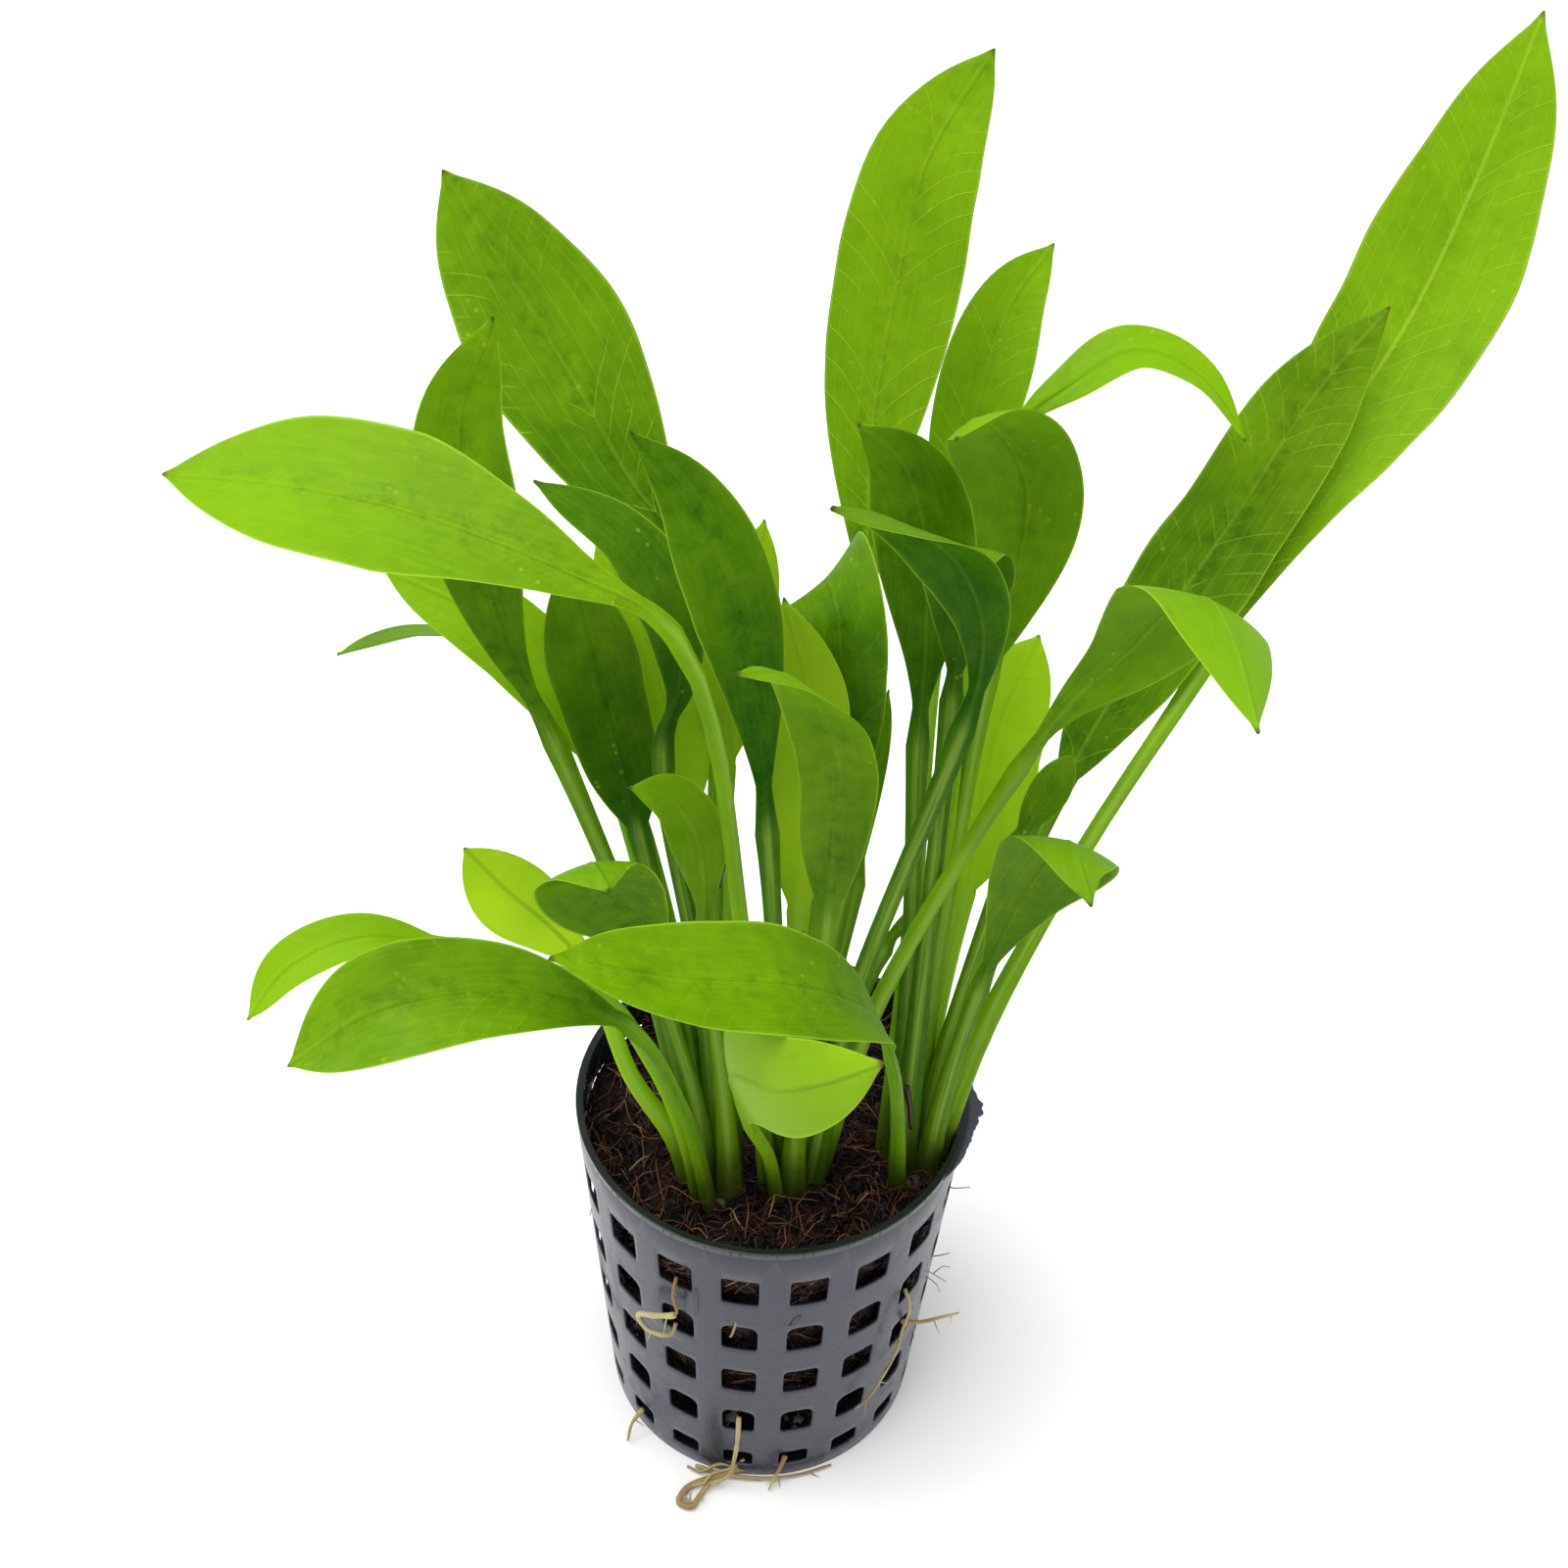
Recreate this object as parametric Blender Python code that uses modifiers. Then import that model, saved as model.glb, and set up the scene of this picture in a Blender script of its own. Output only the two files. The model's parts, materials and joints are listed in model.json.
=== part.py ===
"""Potted echinodorus: a rosette pond plant in a slotted net pot.

Units are metres, +Z is up, and the origin is the middle of the pot's underside.
The plant has three crowns in one coir plug, and every leaf is one piece from its
petiole to the tip of its blade.
"""
import math
from collections import namedtuple

import bmesh
import bpy
from mathutils import Matrix, Quaternion, Vector

MM = 0.001
GAP = 0.3 * MM

# Pot
POT_HEIGHT = 58.5 * MM
POT_TOP_RADIUS = 26.0 * MM
POT_FOOT_RADIUS = 22.5 * MM
POT_WALL = 0.9 * MM
POT_FLOOR = 1.2 * MM
POT_SIDES = 36
HOLE_COLUMNS = 18
HOLE_TURN = math.radians(1.4)
HOLE_ROWS = ((49.2, 4.9, 5.4), (38.0, 4.7, 5.2), (26.8, 4.6, 5.2), (15.7, 4.4, 5.0), (4.8, 4.2, 3.6))
FLOOR_SLOTS = 8
FLOOR_SLOT_INNER = 8.0 * MM
FLOOR_SLOT_OUTER = 18.0 * MM
FLOOR_SLOT_WIDTH = 4.5 * MM

# Growing medium
PLUG_BOTTOM = 20.0 * MM
PLUG_TOP = 53.0 * MM
PLUG_EDGE = 2.0 * MM
PLUG_FOOT_TAPER = 4.0 * MM
SOCKET_DEPTH = 4.0 * MM

# Crowns, each with an inner and an outer ring of leaf bases
CROWN_RADIUS = 6.1 * MM
CROWN_TOP = 54.2 * MM
CROWN_BEVEL = 0.5 * MM
CROWN_FOOT_TAPER = 1.5 * MM
CROWN_SIDES = 16
CROWN_CENTRES = {"left": (-9.0, -9.0), "middle": (4.0, -12.0), "right": (16.2, -5.0)}
INNER = 2.2 * MM
OUTER = 4.7 * MM

# Leaves
LEAF_FOOT = CROWN_TOP + 0.7 * MM
PETIOLE_FOOT_RADIUS = 1.2 * MM
PETIOLE_TOP_RADIUS = 1.0 * MM
PETIOLE_BEND_OUT = 0.34
PETIOLE_BEND_UP = 0.5
BLADE_THICKNESS = 0.7 * MM
BASE_THICKNESS_SHARE = 1.15
TIP_THICKNESS_SHARE = 0.45
TIP_HALF_WIDTH = 0.35 * MM
BLADE_KEEL = 0.18
BLADE_WIDEST = 0.56
BASE_TAPER = 1.25
TIP_TAPER = 0.75
PETIOLE_FADE = 0.35
KEEL_START = 0.25
SECTION_SIDES = 6
PETIOLE_STEPS = 3
BLADE_STEPS = 8
SMALL_BLADE = 4.0
SMALL_BLADE_STEPS = 6
TWISTED_BLADE_STEPS = 13
SPLINE_STEPS = 12
ROOT_STEPS = 2
ROOT_TIP_SHARE = 0.5

# Which way a blade's upper face looks
FRONT = (0.0, -1.0, 0.9)
ABOVE = (0.0, -0.3, 1.0)
DOWN = (0.0, -0.5, -1.0)
TURNED = (0.0, 1.0, -0.9)

LEAF_FIELDS = "name crown ring angle stem half_width path face seen twists"
Leaf = namedtuple("Leaf", LEAF_FIELDS, defaults=(0, ()))

# Each path runs in millimetres to the blade's tip. Its first points, stem of them, are on the petiole,
# and the next is the blade's joint. The face is the one at the joint, or seen points after it.
# Twists are degrees about the leaf's own line, one a point from the joint.
LEAVES = (
    Leaf("leaf_left_long", "middle", OUTER, 205, 0, 8.2,
         ((-12, -12, 142), (-23, -11, 149), (-37, -8, 153), (-50, -5, 154), (-63, -2, 153)), ABOVE),
    Leaf("leaf_front_folded", "middle", OUTER, 240, 0, 6.0,
         ((-3, -20, 76), (-5, -28, 92), (-5, -36, 104), (-1, -42, 109), (4, -45, 114), (9, -46, 118)),
         TURNED, 4),
    Leaf("leaf_centre_folded", "middle", INNER, 290, 0, 4.2,
         ((5, -12, 103), (5, -13, 116), (5, -15, 127), (3, -18, 137), (-1, -22, 145), (-6, -27, 149)),
         FRONT, 0, (0, 0, 0, -15, -35, -50)),
    Leaf("leaf_centre_arching", "middle", OUTER, 322, 0, 4.6,
         ((18, -10, 129), (19, -11, 138), (18, -12, 146), (14, -14, 154), (8, -18, 160), (2, -24, 165)),
         FRONT, 0, (0, 0, 0, -10, -30, -50)),
    Leaf("leaf_right_folded", "middle", OUTER, 355, 0, 8.0,
         ((26, -2, 117), (31, 1, 124), (37, 3, 130), (41, 2, 137), (43, -4, 142), (44, -13, 142),
          (45, -22, 139)), (0.3, -1.0, 0.3)),
    Leaf("leaf_centre_slim", "middle", OUTER, 62, 0, 1.9,
         ((9, 2, 95), (10, 6, 108), (12, 10, 119)), FRONT),
    Leaf("leaf_centre_dark", "middle", INNER, 30, 0, 5.9,
         ((9, 0, 113), (8, 0, 121), (6, 0, 129), (5, 2, 135), (4, 7, 136), (4, 12, 131), (6, 15, 124)),
         (-0.5, -1.0, 0.6)),
    Leaf("leaf_upper_tall", "middle", OUTER, 94, 0, 7.0,
         ((9, 16, 125), (9, 26, 142), (11, 33, 156), (14, 39, 170), (21, 44, 181)), FRONT),
    Leaf("leaf_centre_light", "middle", INNER, 100, 0, 4.5,
         ((2, -6, 98), (2, -3, 114), (2, -1, 127), (-1, 1, 138)), FRONT),
    Leaf("leaf_left_dark", "middle", INNER, 170, 0, 4.7,
         ((-2, -8, 112), (-4, -6, 131), (-7, -3, 143), (-11, 0, 151), (-17, 2, 157)), FRONT),
    Leaf("leaf_young_slim", "middle", OUTER, 28, 0, 1.2,
         ((13, 0, 86), (17, 2, 90), (22, 4, 92)), FRONT),
    Leaf("leaf_young_tip", "middle", OUTER, 275, 0, 1.3,
         ((3, -17, 93), (3, -17, 100), (2, -17, 106)), FRONT),
    Leaf("leaf_front_left_low", "left", OUTER, 254, 0, 6.2,
         ((-17, -20, 93), (-25, -23, 101), (-34, -26, 105), (-43, -29, 105), (-53, -30, 97)), ABOVE),
    Leaf("leaf_far_left_small", "left", OUTER, 220, 2, 3.0,
         ((-15, -12, 78), (-22, -13, 92), (-37, -12, 97), (-47, -14, 101), (-55, -17, 99), (-60, -20, 93)),
         (-0.3, -0.3, 1.0)),
    Leaf("leaf_left_yellow", "left", OUTER, 187, 1, 4.8,
         ((-18, -9, 72), (-23, -3, 84), (-28, -1, 90), (-33, 0, 95), (-38, 2, 100)), FRONT),
    Leaf("leaf_left_upright", "left", OUTER, 155, 0, 5.4,
         ((-26, 0, 118), (-31, 3, 129), (-34, 6, 142), (-35, 9, 153), (-31, 12, 164)), FRONT),
    Leaf("leaf_left_drooping", "left", OUTER, 122, 0, 4.0,
         ((-24, 16, 108), (-34, 24, 113), (-45, 28, 112), (-57, 30, 107)), (0.0, 0.7, 1.0)),
    Leaf("leaf_back_left_broad", "left", OUTER, 89, 0, 8.6,
         ((-10, 16, 130), (-18, 21, 139), (-26, 27, 151), (-39, 36, 169)), FRONT),
    Leaf("leaf_behind_left", "left", OUTER, 56, 0, 4.0,
         ((-7, 7, 109), (-6, 9, 124), (-3, 13, 140)), FRONT),
    Leaf("leaf_small_curled", "left", OUTER, 310, 0, 3.4,
         ((-9, -8, 95), (-9, -8, 104), (-10, -8, 112), (-13, -9, 118), (-17, -12, 122)), FRONT, 0,
         (0, 0, 20, 50, 60)),
    Leaf("leaf_left_curled", "left", INNER, 230, 0, 6.4,
         ((-15, -9, 91), (-16, -11, 99), (-19, -14, 107), (-21, -17, 114), (-20, -22, 120),
          (-18, -27, 121)), FRONT),
    Leaf("leaf_left_broad", "left", INNER, 158, 0, 5.3,
         ((-17, 3, 102), (-19, 5, 111), (-22, 8, 123), (-25, 12, 135)), FRONT),
    Leaf("leaf_left_back_light", "left", INNER, 86, 0, 5.0,
         ((-19, 8, 105), (-28, 14, 117), (-37, 18, 123), (-48, 22, 126)), FRONT),
    Leaf("leaf_left_bright", "left", INNER, 14, 0, 5.0,
         ((-12, 4, 101), (-13, 8, 112), (-16, 12, 124), (-22, 17, 135)), FRONT),
    Leaf("leaf_left_twisted", "left", INNER, 302, 0, 4.5,
         ((-14, 1, 116), (-12, 2, 125), (-13, 3, 133), (-18, 6, 141), (-28, 10, 146)),
         FRONT, 0, (0, 0, 40, 60, 60)),
    Leaf("leaf_front_broad", "right", OUTER, 245, 0, 7.3,
         ((13, -20, 88), (9, -26, 103), (0, -32, 113), (-11, -36, 118), (-23, -40, 125)), (0.7, 0.0, 1.0)),
    Leaf("leaf_right_low_folded", "right", OUTER, 335, 0, 6.5,
         ((24, -8, 87), (26, -8, 97), (28, -9, 106), (30, -11, 113), (30, -16, 119), (30, -22, 121),
          (31, -26, 119)), FRONT),
    Leaf("leaf_right_tallest", "right", OUTER, 5, 1, 9.6,
         ((38, 8, 97), (53, 22, 118), (62, 32, 135), (74, 44, 150), (81, 53, 164), (87, 62, 181)), FRONT),
    Leaf("leaf_right_inner", "right", OUTER, 40, 0, 6.9,
         ((35, 14, 101), (43, 20, 117), (53, 28, 131), (62, 35, 145), (70, 40, 154)), FRONT),
    Leaf("leaf_right_small", "right", INNER, 20, 0, 2.5,
         ((29, 6, 99), (32, 8, 105), (35, 11, 109)), FRONT),
    Leaf("leaf_right_light", "right", OUTER, 75, 0, 5.5,
         ((24, 10, 86), (25, 13, 93), (27, 20, 106), (32, 27, 115)), FRONT),
    Leaf("leaf_right_arching", "right", OUTER, 108, 0, 3.8,
         ((25, 26, 143), (32, 29, 149), (39, 31, 152), (46, 29, 150), (52, 25, 144)), (-0.2, -0.6, 1.0), 0,
         (0, -10, -25, -35, -40)),
    Leaf("leaf_right_curled", "right", INNER, 92, 0, 6.6,
         ((24, 14, 118), (25, 14, 125), (26, 15, 134), (26, 16, 142), (23, 15, 149), (19, 11, 154),
          (16, 5, 155)), FRONT),
    Leaf("leaf_upper_second", "right", OUTER, 141, 0, 5.5,
         ((19, 27, 119), (21, 34, 134), (23, 39, 143), (26, 44, 151), (31, 48, 157)), FRONT),
    Leaf("leaf_centre_tip_fold", "right", INNER, 236, 0, 5.0,
         ((18, 0, 125), (18, 0, 135), (18, -1, 144), (17, -4, 148), (17, -8, 149), (17, -11, 148)),
         DOWN, 3),
    Leaf("leaf_centre_vertical", "right", INNER, 164, 0, 5.5,
         ((15, 2, 117), (15, 5, 130), (14, 8, 142), (11, 9, 150), (6, 8, 155)), FRONT),
)

# Roots that come out through the holes, in millimetres: name, thickness, route
ROOTS = (
    ("root_pale_loop", 1.4, (
        (-11.9, -22.2, 48.2), (-12.3, -23.8, 46.8), (-12.0, -23.6, 42.0), (-14.5, -22.9, 40.6),
        (-17.0, -21.4, 38.4), (-15.6, -22.2, 36.2), (-12.6, -23.3, 37.0), (-12.0, -22.4, 38.2))),
    ("root_long", 1.5, (
        (-3.4, -23.4, 17.0), (-3.5, -24.8, 14.0), (-3.9, -24.6, 8.0), (-4.6, -24.6, 3.5),
        (-6.8, -24.6, 1.5), (-9.5, -24.8, 1.1), (-11.2, -25.9, 1.0), (-10.0, -27.2, 1.0),
        (-8.2, -26.7, 1.0))),
    ("root_short", 0.9, ((3.4, -22.5, 5.4), (2.6, -23.9, 4.2), (1.8, -24.4, 2.2), (1.2, -25.2, 0.8))),
    ("root_right", 1.2, (
        (18.5, -15.6, 36.6), (19.2, -17.6, 35.4), (18.4, -18.6, 31.0), (18.0, -18.8, 26.6),
        (16.4, -19.8, 22.0), (14.5, -20.6, 17.4), (12.9, -20.9, 15.4))),
    ("root_green", 0.9, (
        (18.7, -15.0, 28.0), (21.0, -15.4, 28.4), (24.5, -14.0, 27.6), (27.0, -12.5, 26.4))),
    ("root_foot", 0.8, (
        (-9.4, -21.6, 0.8), (-4.8, -23.0, 0.9), (0.0, -23.5, 1.0), (5.2, -22.9, 0.9),
        (10.2, -21.2, 0.8))),
    ("root_left", 1.0, ((-17.2, -15.0, 4.8), (-18.8, -16.4, 3.2), (-19.4, -17.8, 0.9))),
)

LEAF_GREEN = (0.16, 0.42, 0.01)
POT_BLUE_BLACK = (0.012, 0.016, 0.022)
COIR_BROWN = (0.035, 0.014, 0.006)
CROWN_TAN = (0.30, 0.26, 0.10)
ROOT_CREAM = (0.62, 0.48, 0.24)


def clear_scene():
    """Remove whatever the file opened with."""
    for thing in list(bpy.data.objects):
        bpy.data.objects.remove(thing, do_unlink=True)


def new_collection(name):
    collection = bpy.data.collections.new(name)
    bpy.context.scene.collection.children.link(collection)
    return collection


def material(name, colour, roughness):
    """A plain Principled material."""
    made = bpy.data.materials.new(name)
    made.use_nodes = True
    shader = made.node_tree.nodes["Principled BSDF"]
    shader.inputs["Base Color"].default_value = (*colour, 1.0)
    shader.inputs["Roughness"].default_value = roughness
    shader.inputs["Metallic"].default_value = 0.0
    made.diffuse_color = (*colour, 1.0)
    return made


def add_object(name, mesh, collection, finish=None):
    made = bpy.data.objects.new(name, mesh)
    collection.objects.link(made)
    if finish:
        mesh.materials.append(finish)
    return made


def shade(mesh, angle=40.0):
    mesh.shade_smooth()
    mesh.set_sharp_from_angle(angle=math.radians(angle))


def mesh_from(bm, name):
    bmesh.ops.recalc_face_normals(bm, faces=bm.faces)
    mesh = bpy.data.meshes.new(name)
    bm.to_mesh(mesh)
    bm.free()
    return mesh


def turned(name, profile, sides, collection, start_angle=0.0):
    """A Screw of a profile of (radius, height) pairs whose two ends lie on the axis."""
    bm = bmesh.new()
    aim = Vector((math.cos(start_angle), math.sin(start_angle), 0.0))
    rows = [bm.verts.new(aim * radius + Vector((0.0, 0.0, height))) for radius, height in profile]
    for first, second in zip(rows, rows[1:]):
        bm.edges.new((first, second))
    mesh = bpy.data.meshes.new(name)
    bm.to_mesh(mesh)
    bm.free()
    made = add_object(name, mesh, collection)
    screw = made.modifiers.new("Turn", "SCREW")
    screw.steps = sides
    screw.render_steps = sides
    screw.use_merge_vertices = True
    screw.merge_threshold = 0.00001
    screw.use_normal_calculate = True
    return made


def pot_radius(height):
    """Outer radius of the pot's wall at a height."""
    return POT_FOOT_RADIUS + (POT_TOP_RADIUS - POT_FOOT_RADIUS) * height / POT_HEIGHT


def cut(target, cutter):
    boolean = target.modifiers.new("Cut " + cutter.name, "BOOLEAN")
    boolean.operation = "DIFFERENCE"
    boolean.solver = "EXACT"
    boolean.object = cutter
    cutter.hide_render = True
    cutter.display_type = "WIRE"


def box_into(bm, size, place):
    """Add a box of a size at a place to a cutter's mesh."""
    scale = Matrix.Diagonal((*size, 1.0))
    bmesh.ops.create_cube(bm, size=1.0, matrix=place @ scale)


def build_pot(parts, cutters):
    """The turned wall and floor, with the lattice of holes and the floor's slots cut out."""
    inner_foot = pot_radius(POT_FLOOR) - POT_WALL
    profile = ((0.0, POT_FLOOR), (inner_foot, POT_FLOOR), (POT_TOP_RADIUS - POT_WALL, POT_HEIGHT),
               (POT_TOP_RADIUS, POT_HEIGHT), (POT_FOOT_RADIUS, 0.0), (0.0, 0.0))
    pot = turned("pot", profile, POT_SIDES, parts, HOLE_TURN)
    bm = bmesh.new()
    for centre, width, height in HOLE_ROWS:
        radius = pot_radius(centre * MM)
        for column in range(HOLE_COLUMNS):
            turn = HOLE_TURN + math.tau * column / HOLE_COLUMNS
            place = Matrix.Rotation(turn, 4, "Z") @ Matrix.Translation((radius, 0.0, centre * MM))
            box_into(bm, (6.0 * MM, width * MM, height * MM), place)
    slot_length = FLOOR_SLOT_OUTER - FLOOR_SLOT_INNER
    slot_middle = (FLOOR_SLOT_OUTER + FLOOR_SLOT_INNER) / 2
    for slot in range(FLOOR_SLOTS):
        turn = math.tau * (slot + 0.5) / FLOOR_SLOTS
        place = Matrix.Rotation(turn, 4, "Z") @ Matrix.Translation((slot_middle, 0.0, 0.0))
        box_into(bm, (slot_length, FLOOR_SLOT_WIDTH, 4 * POT_FLOOR), place)
    holes = add_object("cutter_pot_holes", mesh_from(bm, "pot_holes"), cutters)
    cut(pot, holes)
    pot.data.materials.append(material("pot plastic", POT_BLUE_BLACK, 0.35))
    return pot


def build_plug(parts, cutters):
    """The coir plug, wedged in the pot's taper, with a socket for each crown."""
    def side(height):
        return pot_radius(height) - POT_WALL - 2 * GAP
    shoulder = PLUG_TOP - PLUG_EDGE / 2
    hip = PLUG_BOTTOM + PLUG_FOOT_TAPER
    profile = ((0.0, PLUG_TOP), (side(PLUG_TOP) - PLUG_EDGE, PLUG_TOP), (side(shoulder), shoulder),
               (side(hip), hip), (side(PLUG_BOTTOM) - PLUG_FOOT_TAPER, PLUG_BOTTOM), (0.0, PLUG_BOTTOM))
    plug = turned("coir_plug", profile, POT_SIDES, parts, HOLE_TURN)
    bm = bmesh.new()
    for x, y in CROWN_CENTRES.values():
        bmesh.ops.create_cone(bm, cap_ends=True, segments=CROWN_SIDES, radius1=CROWN_RADIUS + GAP,
                              radius2=CROWN_RADIUS + GAP, depth=2 * SOCKET_DEPTH,
                              matrix=Matrix.Translation((x * MM, y * MM, PLUG_TOP)))
    sockets = add_object("cutter_crown_sockets", mesh_from(bm, "crown_sockets"), cutters)
    cut(plug, sockets)
    plug.data.materials.append(material("coir", COIR_BROWN, 0.9))
    return plug


def build_crowns(parts):
    """Each crown is a short rounded stock that carries its leaves' bases."""
    finish = material("crown", CROWN_TAN, 0.6)
    bottom = PLUG_TOP - SOCKET_DEPTH + GAP
    profile = ((0.0, CROWN_TOP), (CROWN_RADIUS - CROWN_BEVEL, CROWN_TOP),
               (CROWN_RADIUS, CROWN_TOP - CROWN_BEVEL), (CROWN_RADIUS, bottom + CROWN_FOOT_TAPER),
               (CROWN_RADIUS - CROWN_FOOT_TAPER, bottom), (0.0, bottom))
    for name, (x, y) in CROWN_CENTRES.items():
        crown = turned("crown_" + name, profile, CROWN_SIDES, parts)
        crown.location = (x * MM, y * MM, 0.0)
        crown.data.materials.append(finish)


def spline(points, per_span=SPLINE_STEPS):
    """A centripetal curve through the points, as a dense list of positions."""
    padded = [2 * points[0] - points[1], *points, 2 * points[-1] - points[-2]]
    dense = []
    for p0, p1, p2, p3 in zip(padded, padded[1:], padded[2:], padded[3:]):
        t0 = 0.0
        t1 = t0 + math.sqrt((p1 - p0).length)
        t2 = t1 + math.sqrt((p2 - p1).length)
        t3 = t2 + math.sqrt((p3 - p2).length)
        for step in range(per_span):
            t = t1 + (t2 - t1) * step / per_span
            a1 = p0 * ((t1 - t) / (t1 - t0)) + p1 * ((t - t0) / (t1 - t0))
            a2 = p1 * ((t2 - t) / (t2 - t1)) + p2 * ((t - t1) / (t2 - t1))
            a3 = p2 * ((t3 - t) / (t3 - t2)) + p3 * ((t - t2) / (t3 - t2))
            b1 = a1 * ((t2 - t) / (t2 - t0)) + a2 * ((t - t0) / (t2 - t0))
            b2 = a2 * ((t3 - t) / (t3 - t1)) + a3 * ((t - t1) / (t3 - t1))
            dense.append(b1 * ((t2 - t) / (t2 - t1)) + b2 * ((t - t1) / (t2 - t1)))
    dense.append(points[-1].copy())
    return dense


def lengths_along(points):
    total = 0.0
    lengths = [0.0]
    for first, second in zip(points, points[1:]):
        total += (second - first).length
        lengths.append(total)
    return lengths


def value_at(values, lengths, where):
    """Linear look-up of a list of vectors by arc length."""
    for index in range(len(lengths) - 1):
        if where <= lengths[index + 1]:
            span = lengths[index + 1] - lengths[index]
            share = (where - lengths[index]) / span if span else 0.0
            return values[index].lerp(values[index + 1], share)
    return values[-1].copy()


def leaf_route(leaf):
    """The leaf's middle line: the base on its crown, the petiole's bend, then the listed points."""
    x, y = CROWN_CENTRES[leaf.crown]
    turn = math.radians(leaf.angle)
    base = Vector((x * MM + leaf.ring * math.cos(turn), y * MM + leaf.ring * math.sin(turn), LEAF_FOOT))
    listed = [Vector(point) * MM for point in leaf.path]
    reach = listed[0] - base
    out = reach * PETIOLE_BEND_OUT
    bend = base + Vector((out.x, out.y, reach.z * PETIOLE_BEND_UP))
    return [base, bend, *listed]


def carried_frames(points, start, face):
    """Directions along, across and up at each point, carried with no twist from the start point."""
    count = len(points)
    along = []
    for index in range(count):
        ahead = points[min(index + 1, count - 1)]
        behind = points[max(index - 1, 0)]
        along.append((ahead - behind).normalized())
    ups = [None] * count
    up = Vector(face)
    ups[start] = (up - along[start] * up.dot(along[start])).normalized()
    for index in range(start + 1, count):
        turn = along[index - 1].rotation_difference(along[index])
        ups[index] = turn @ ups[index - 1]
    for index in range(start - 1, -1, -1):
        turn = along[index + 1].rotation_difference(along[index])
        ups[index] = turn @ ups[index + 1]
    return along, ups


def twist_at(twists, marks, where):
    """The leaf's twist in radians at a length along it."""
    if not twists or where <= marks[0]:
        return 0.0
    for first, second, start, end in zip(twists, twists[1:], marks, marks[1:]):
        if where <= end:
            return math.radians(first + (second - first) * (where - start) / (end - start))
    return math.radians(twists[-1])


def blade_outline(share):
    """Half width of a blade along its length, as a share of its greatest half width."""
    if not 0.0 < share < 1.0:
        return 0.0
    return (share / BLADE_WIDEST) ** BASE_TAPER * ((1 - share) / (1 - BLADE_WIDEST)) ** TIP_TAPER


def build_leaf(leaf, parts, finish):
    """Loft the round petiole into the flat keeled blade along the leaf's middle line."""
    route = leaf_route(leaf)
    joint_index = 2 + leaf.stem
    dense = spline(route)
    lengths = lengths_along(dense)
    along, ups = carried_frames(dense, (joint_index + leaf.seen) * SPLINE_STEPS, leaf.face)
    marks = [lengths[SPLINE_STEPS * index] for index in range(joint_index, len(route))]
    joint = marks[0]
    total = marks[-1]
    stations = [joint * step / PETIOLE_STEPS for step in range(PETIOLE_STEPS)]
    steps = BLADE_STEPS if leaf.half_width > SMALL_BLADE else SMALL_BLADE_STEPS
    if leaf.twists:
        steps = TWISTED_BLADE_STEPS
    stations += [joint + (total - joint) * step / steps for step in range(steps + 1)]
    bm = bmesh.new()
    rings = []
    for where in stations:
        middle = value_at(dense, lengths, where)
        forward = value_at(along, lengths, where).normalized()
        up = value_at(ups, lengths, where)
        up = (up - forward * up.dot(forward)).normalized()
        up.rotate(Quaternion(forward, twist_at(leaf.twists, marks, where)))
        across = forward.cross(up)
        share = max(0.0, (where - joint) / (total - joint))
        down_petiole = min(where / joint, 1.0)
        stem = PETIOLE_FOOT_RADIUS + (PETIOLE_TOP_RADIUS - PETIOLE_FOOT_RADIUS) * down_petiole
        fade = max(0.0, 1.0 - share / PETIOLE_FADE)
        thin = BASE_THICKNESS_SHARE + (TIP_THICKNESS_SHARE - BASE_THICKNESS_SHARE) * share
        thick = max(BLADE_THICKNESS / 2 * thin, stem * fade)
        wide = max(leaf.half_width * MM * blade_outline(share), stem * fade, TIP_HALF_WIDTH)
        keel = BLADE_KEEL * wide * min(1.0, share / KEEL_START)
        ring = []
        for side in range(SECTION_SIDES):
            angle = math.tau * side / SECTION_SIDES
            offset = across * (wide * math.cos(angle))
            offset += up * (thick * math.sin(angle) + keel * abs(math.cos(angle)))
            ring.append(bm.verts.new(middle + offset))
        rings.append(ring)
    for lower, upper in zip(rings, rings[1:]):
        for side in range(SECTION_SIDES):
            after = (side + 1) % SECTION_SIDES
            bm.faces.new((lower[side], lower[after], upper[after], upper[side]))
    bm.faces.new(list(reversed(rings[0])))
    bm.faces.new(rings[-1])
    mesh = mesh_from(bm, leaf.name)
    shade(mesh, 60.0)
    return add_object(leaf.name, mesh, parts, finish)


def build_root(name, thickness, route, parts, finish):
    """A root is a bevelled curve along its route, made a closed mesh."""
    points = spline([Vector(point) * MM for point in route], ROOT_STEPS)
    curve = bpy.data.curves.new(name, "CURVE")
    curve.dimensions = "3D"
    curve.bevel_depth = thickness * MM / 2
    curve.bevel_resolution = 1
    curve.use_fill_caps = True
    line = curve.splines.new("POLY")
    line.points.add(len(points) - 1)
    for index, point in enumerate(points):
        line.points[index].co = (*point, 1.0)
        line.points[index].radius = 1.0 + (ROOT_TIP_SHARE - 1.0) * index / (len(points) - 1)
    curve.materials.append(finish)
    return add_object(name, curve, parts)


def main():
    clear_scene()
    parts = new_collection("potted_echinodorus")
    cutters = new_collection("cutters")
    build_pot(parts, cutters)
    build_plug(parts, cutters)
    build_crowns(parts)
    green = material("leaf", LEAF_GREEN, 0.4)
    for leaf in LEAVES:
        build_leaf(leaf, parts, green)
    cream = material("root", ROOT_CREAM, 0.6)
    for name, thickness, route in ROOTS:
        build_root(name, thickness, route, parts, cream)


main()
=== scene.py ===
"""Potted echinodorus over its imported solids: leaves, coir, crowns, pot, roots and a studio."""
import json
import math
from collections import namedtuple

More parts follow.
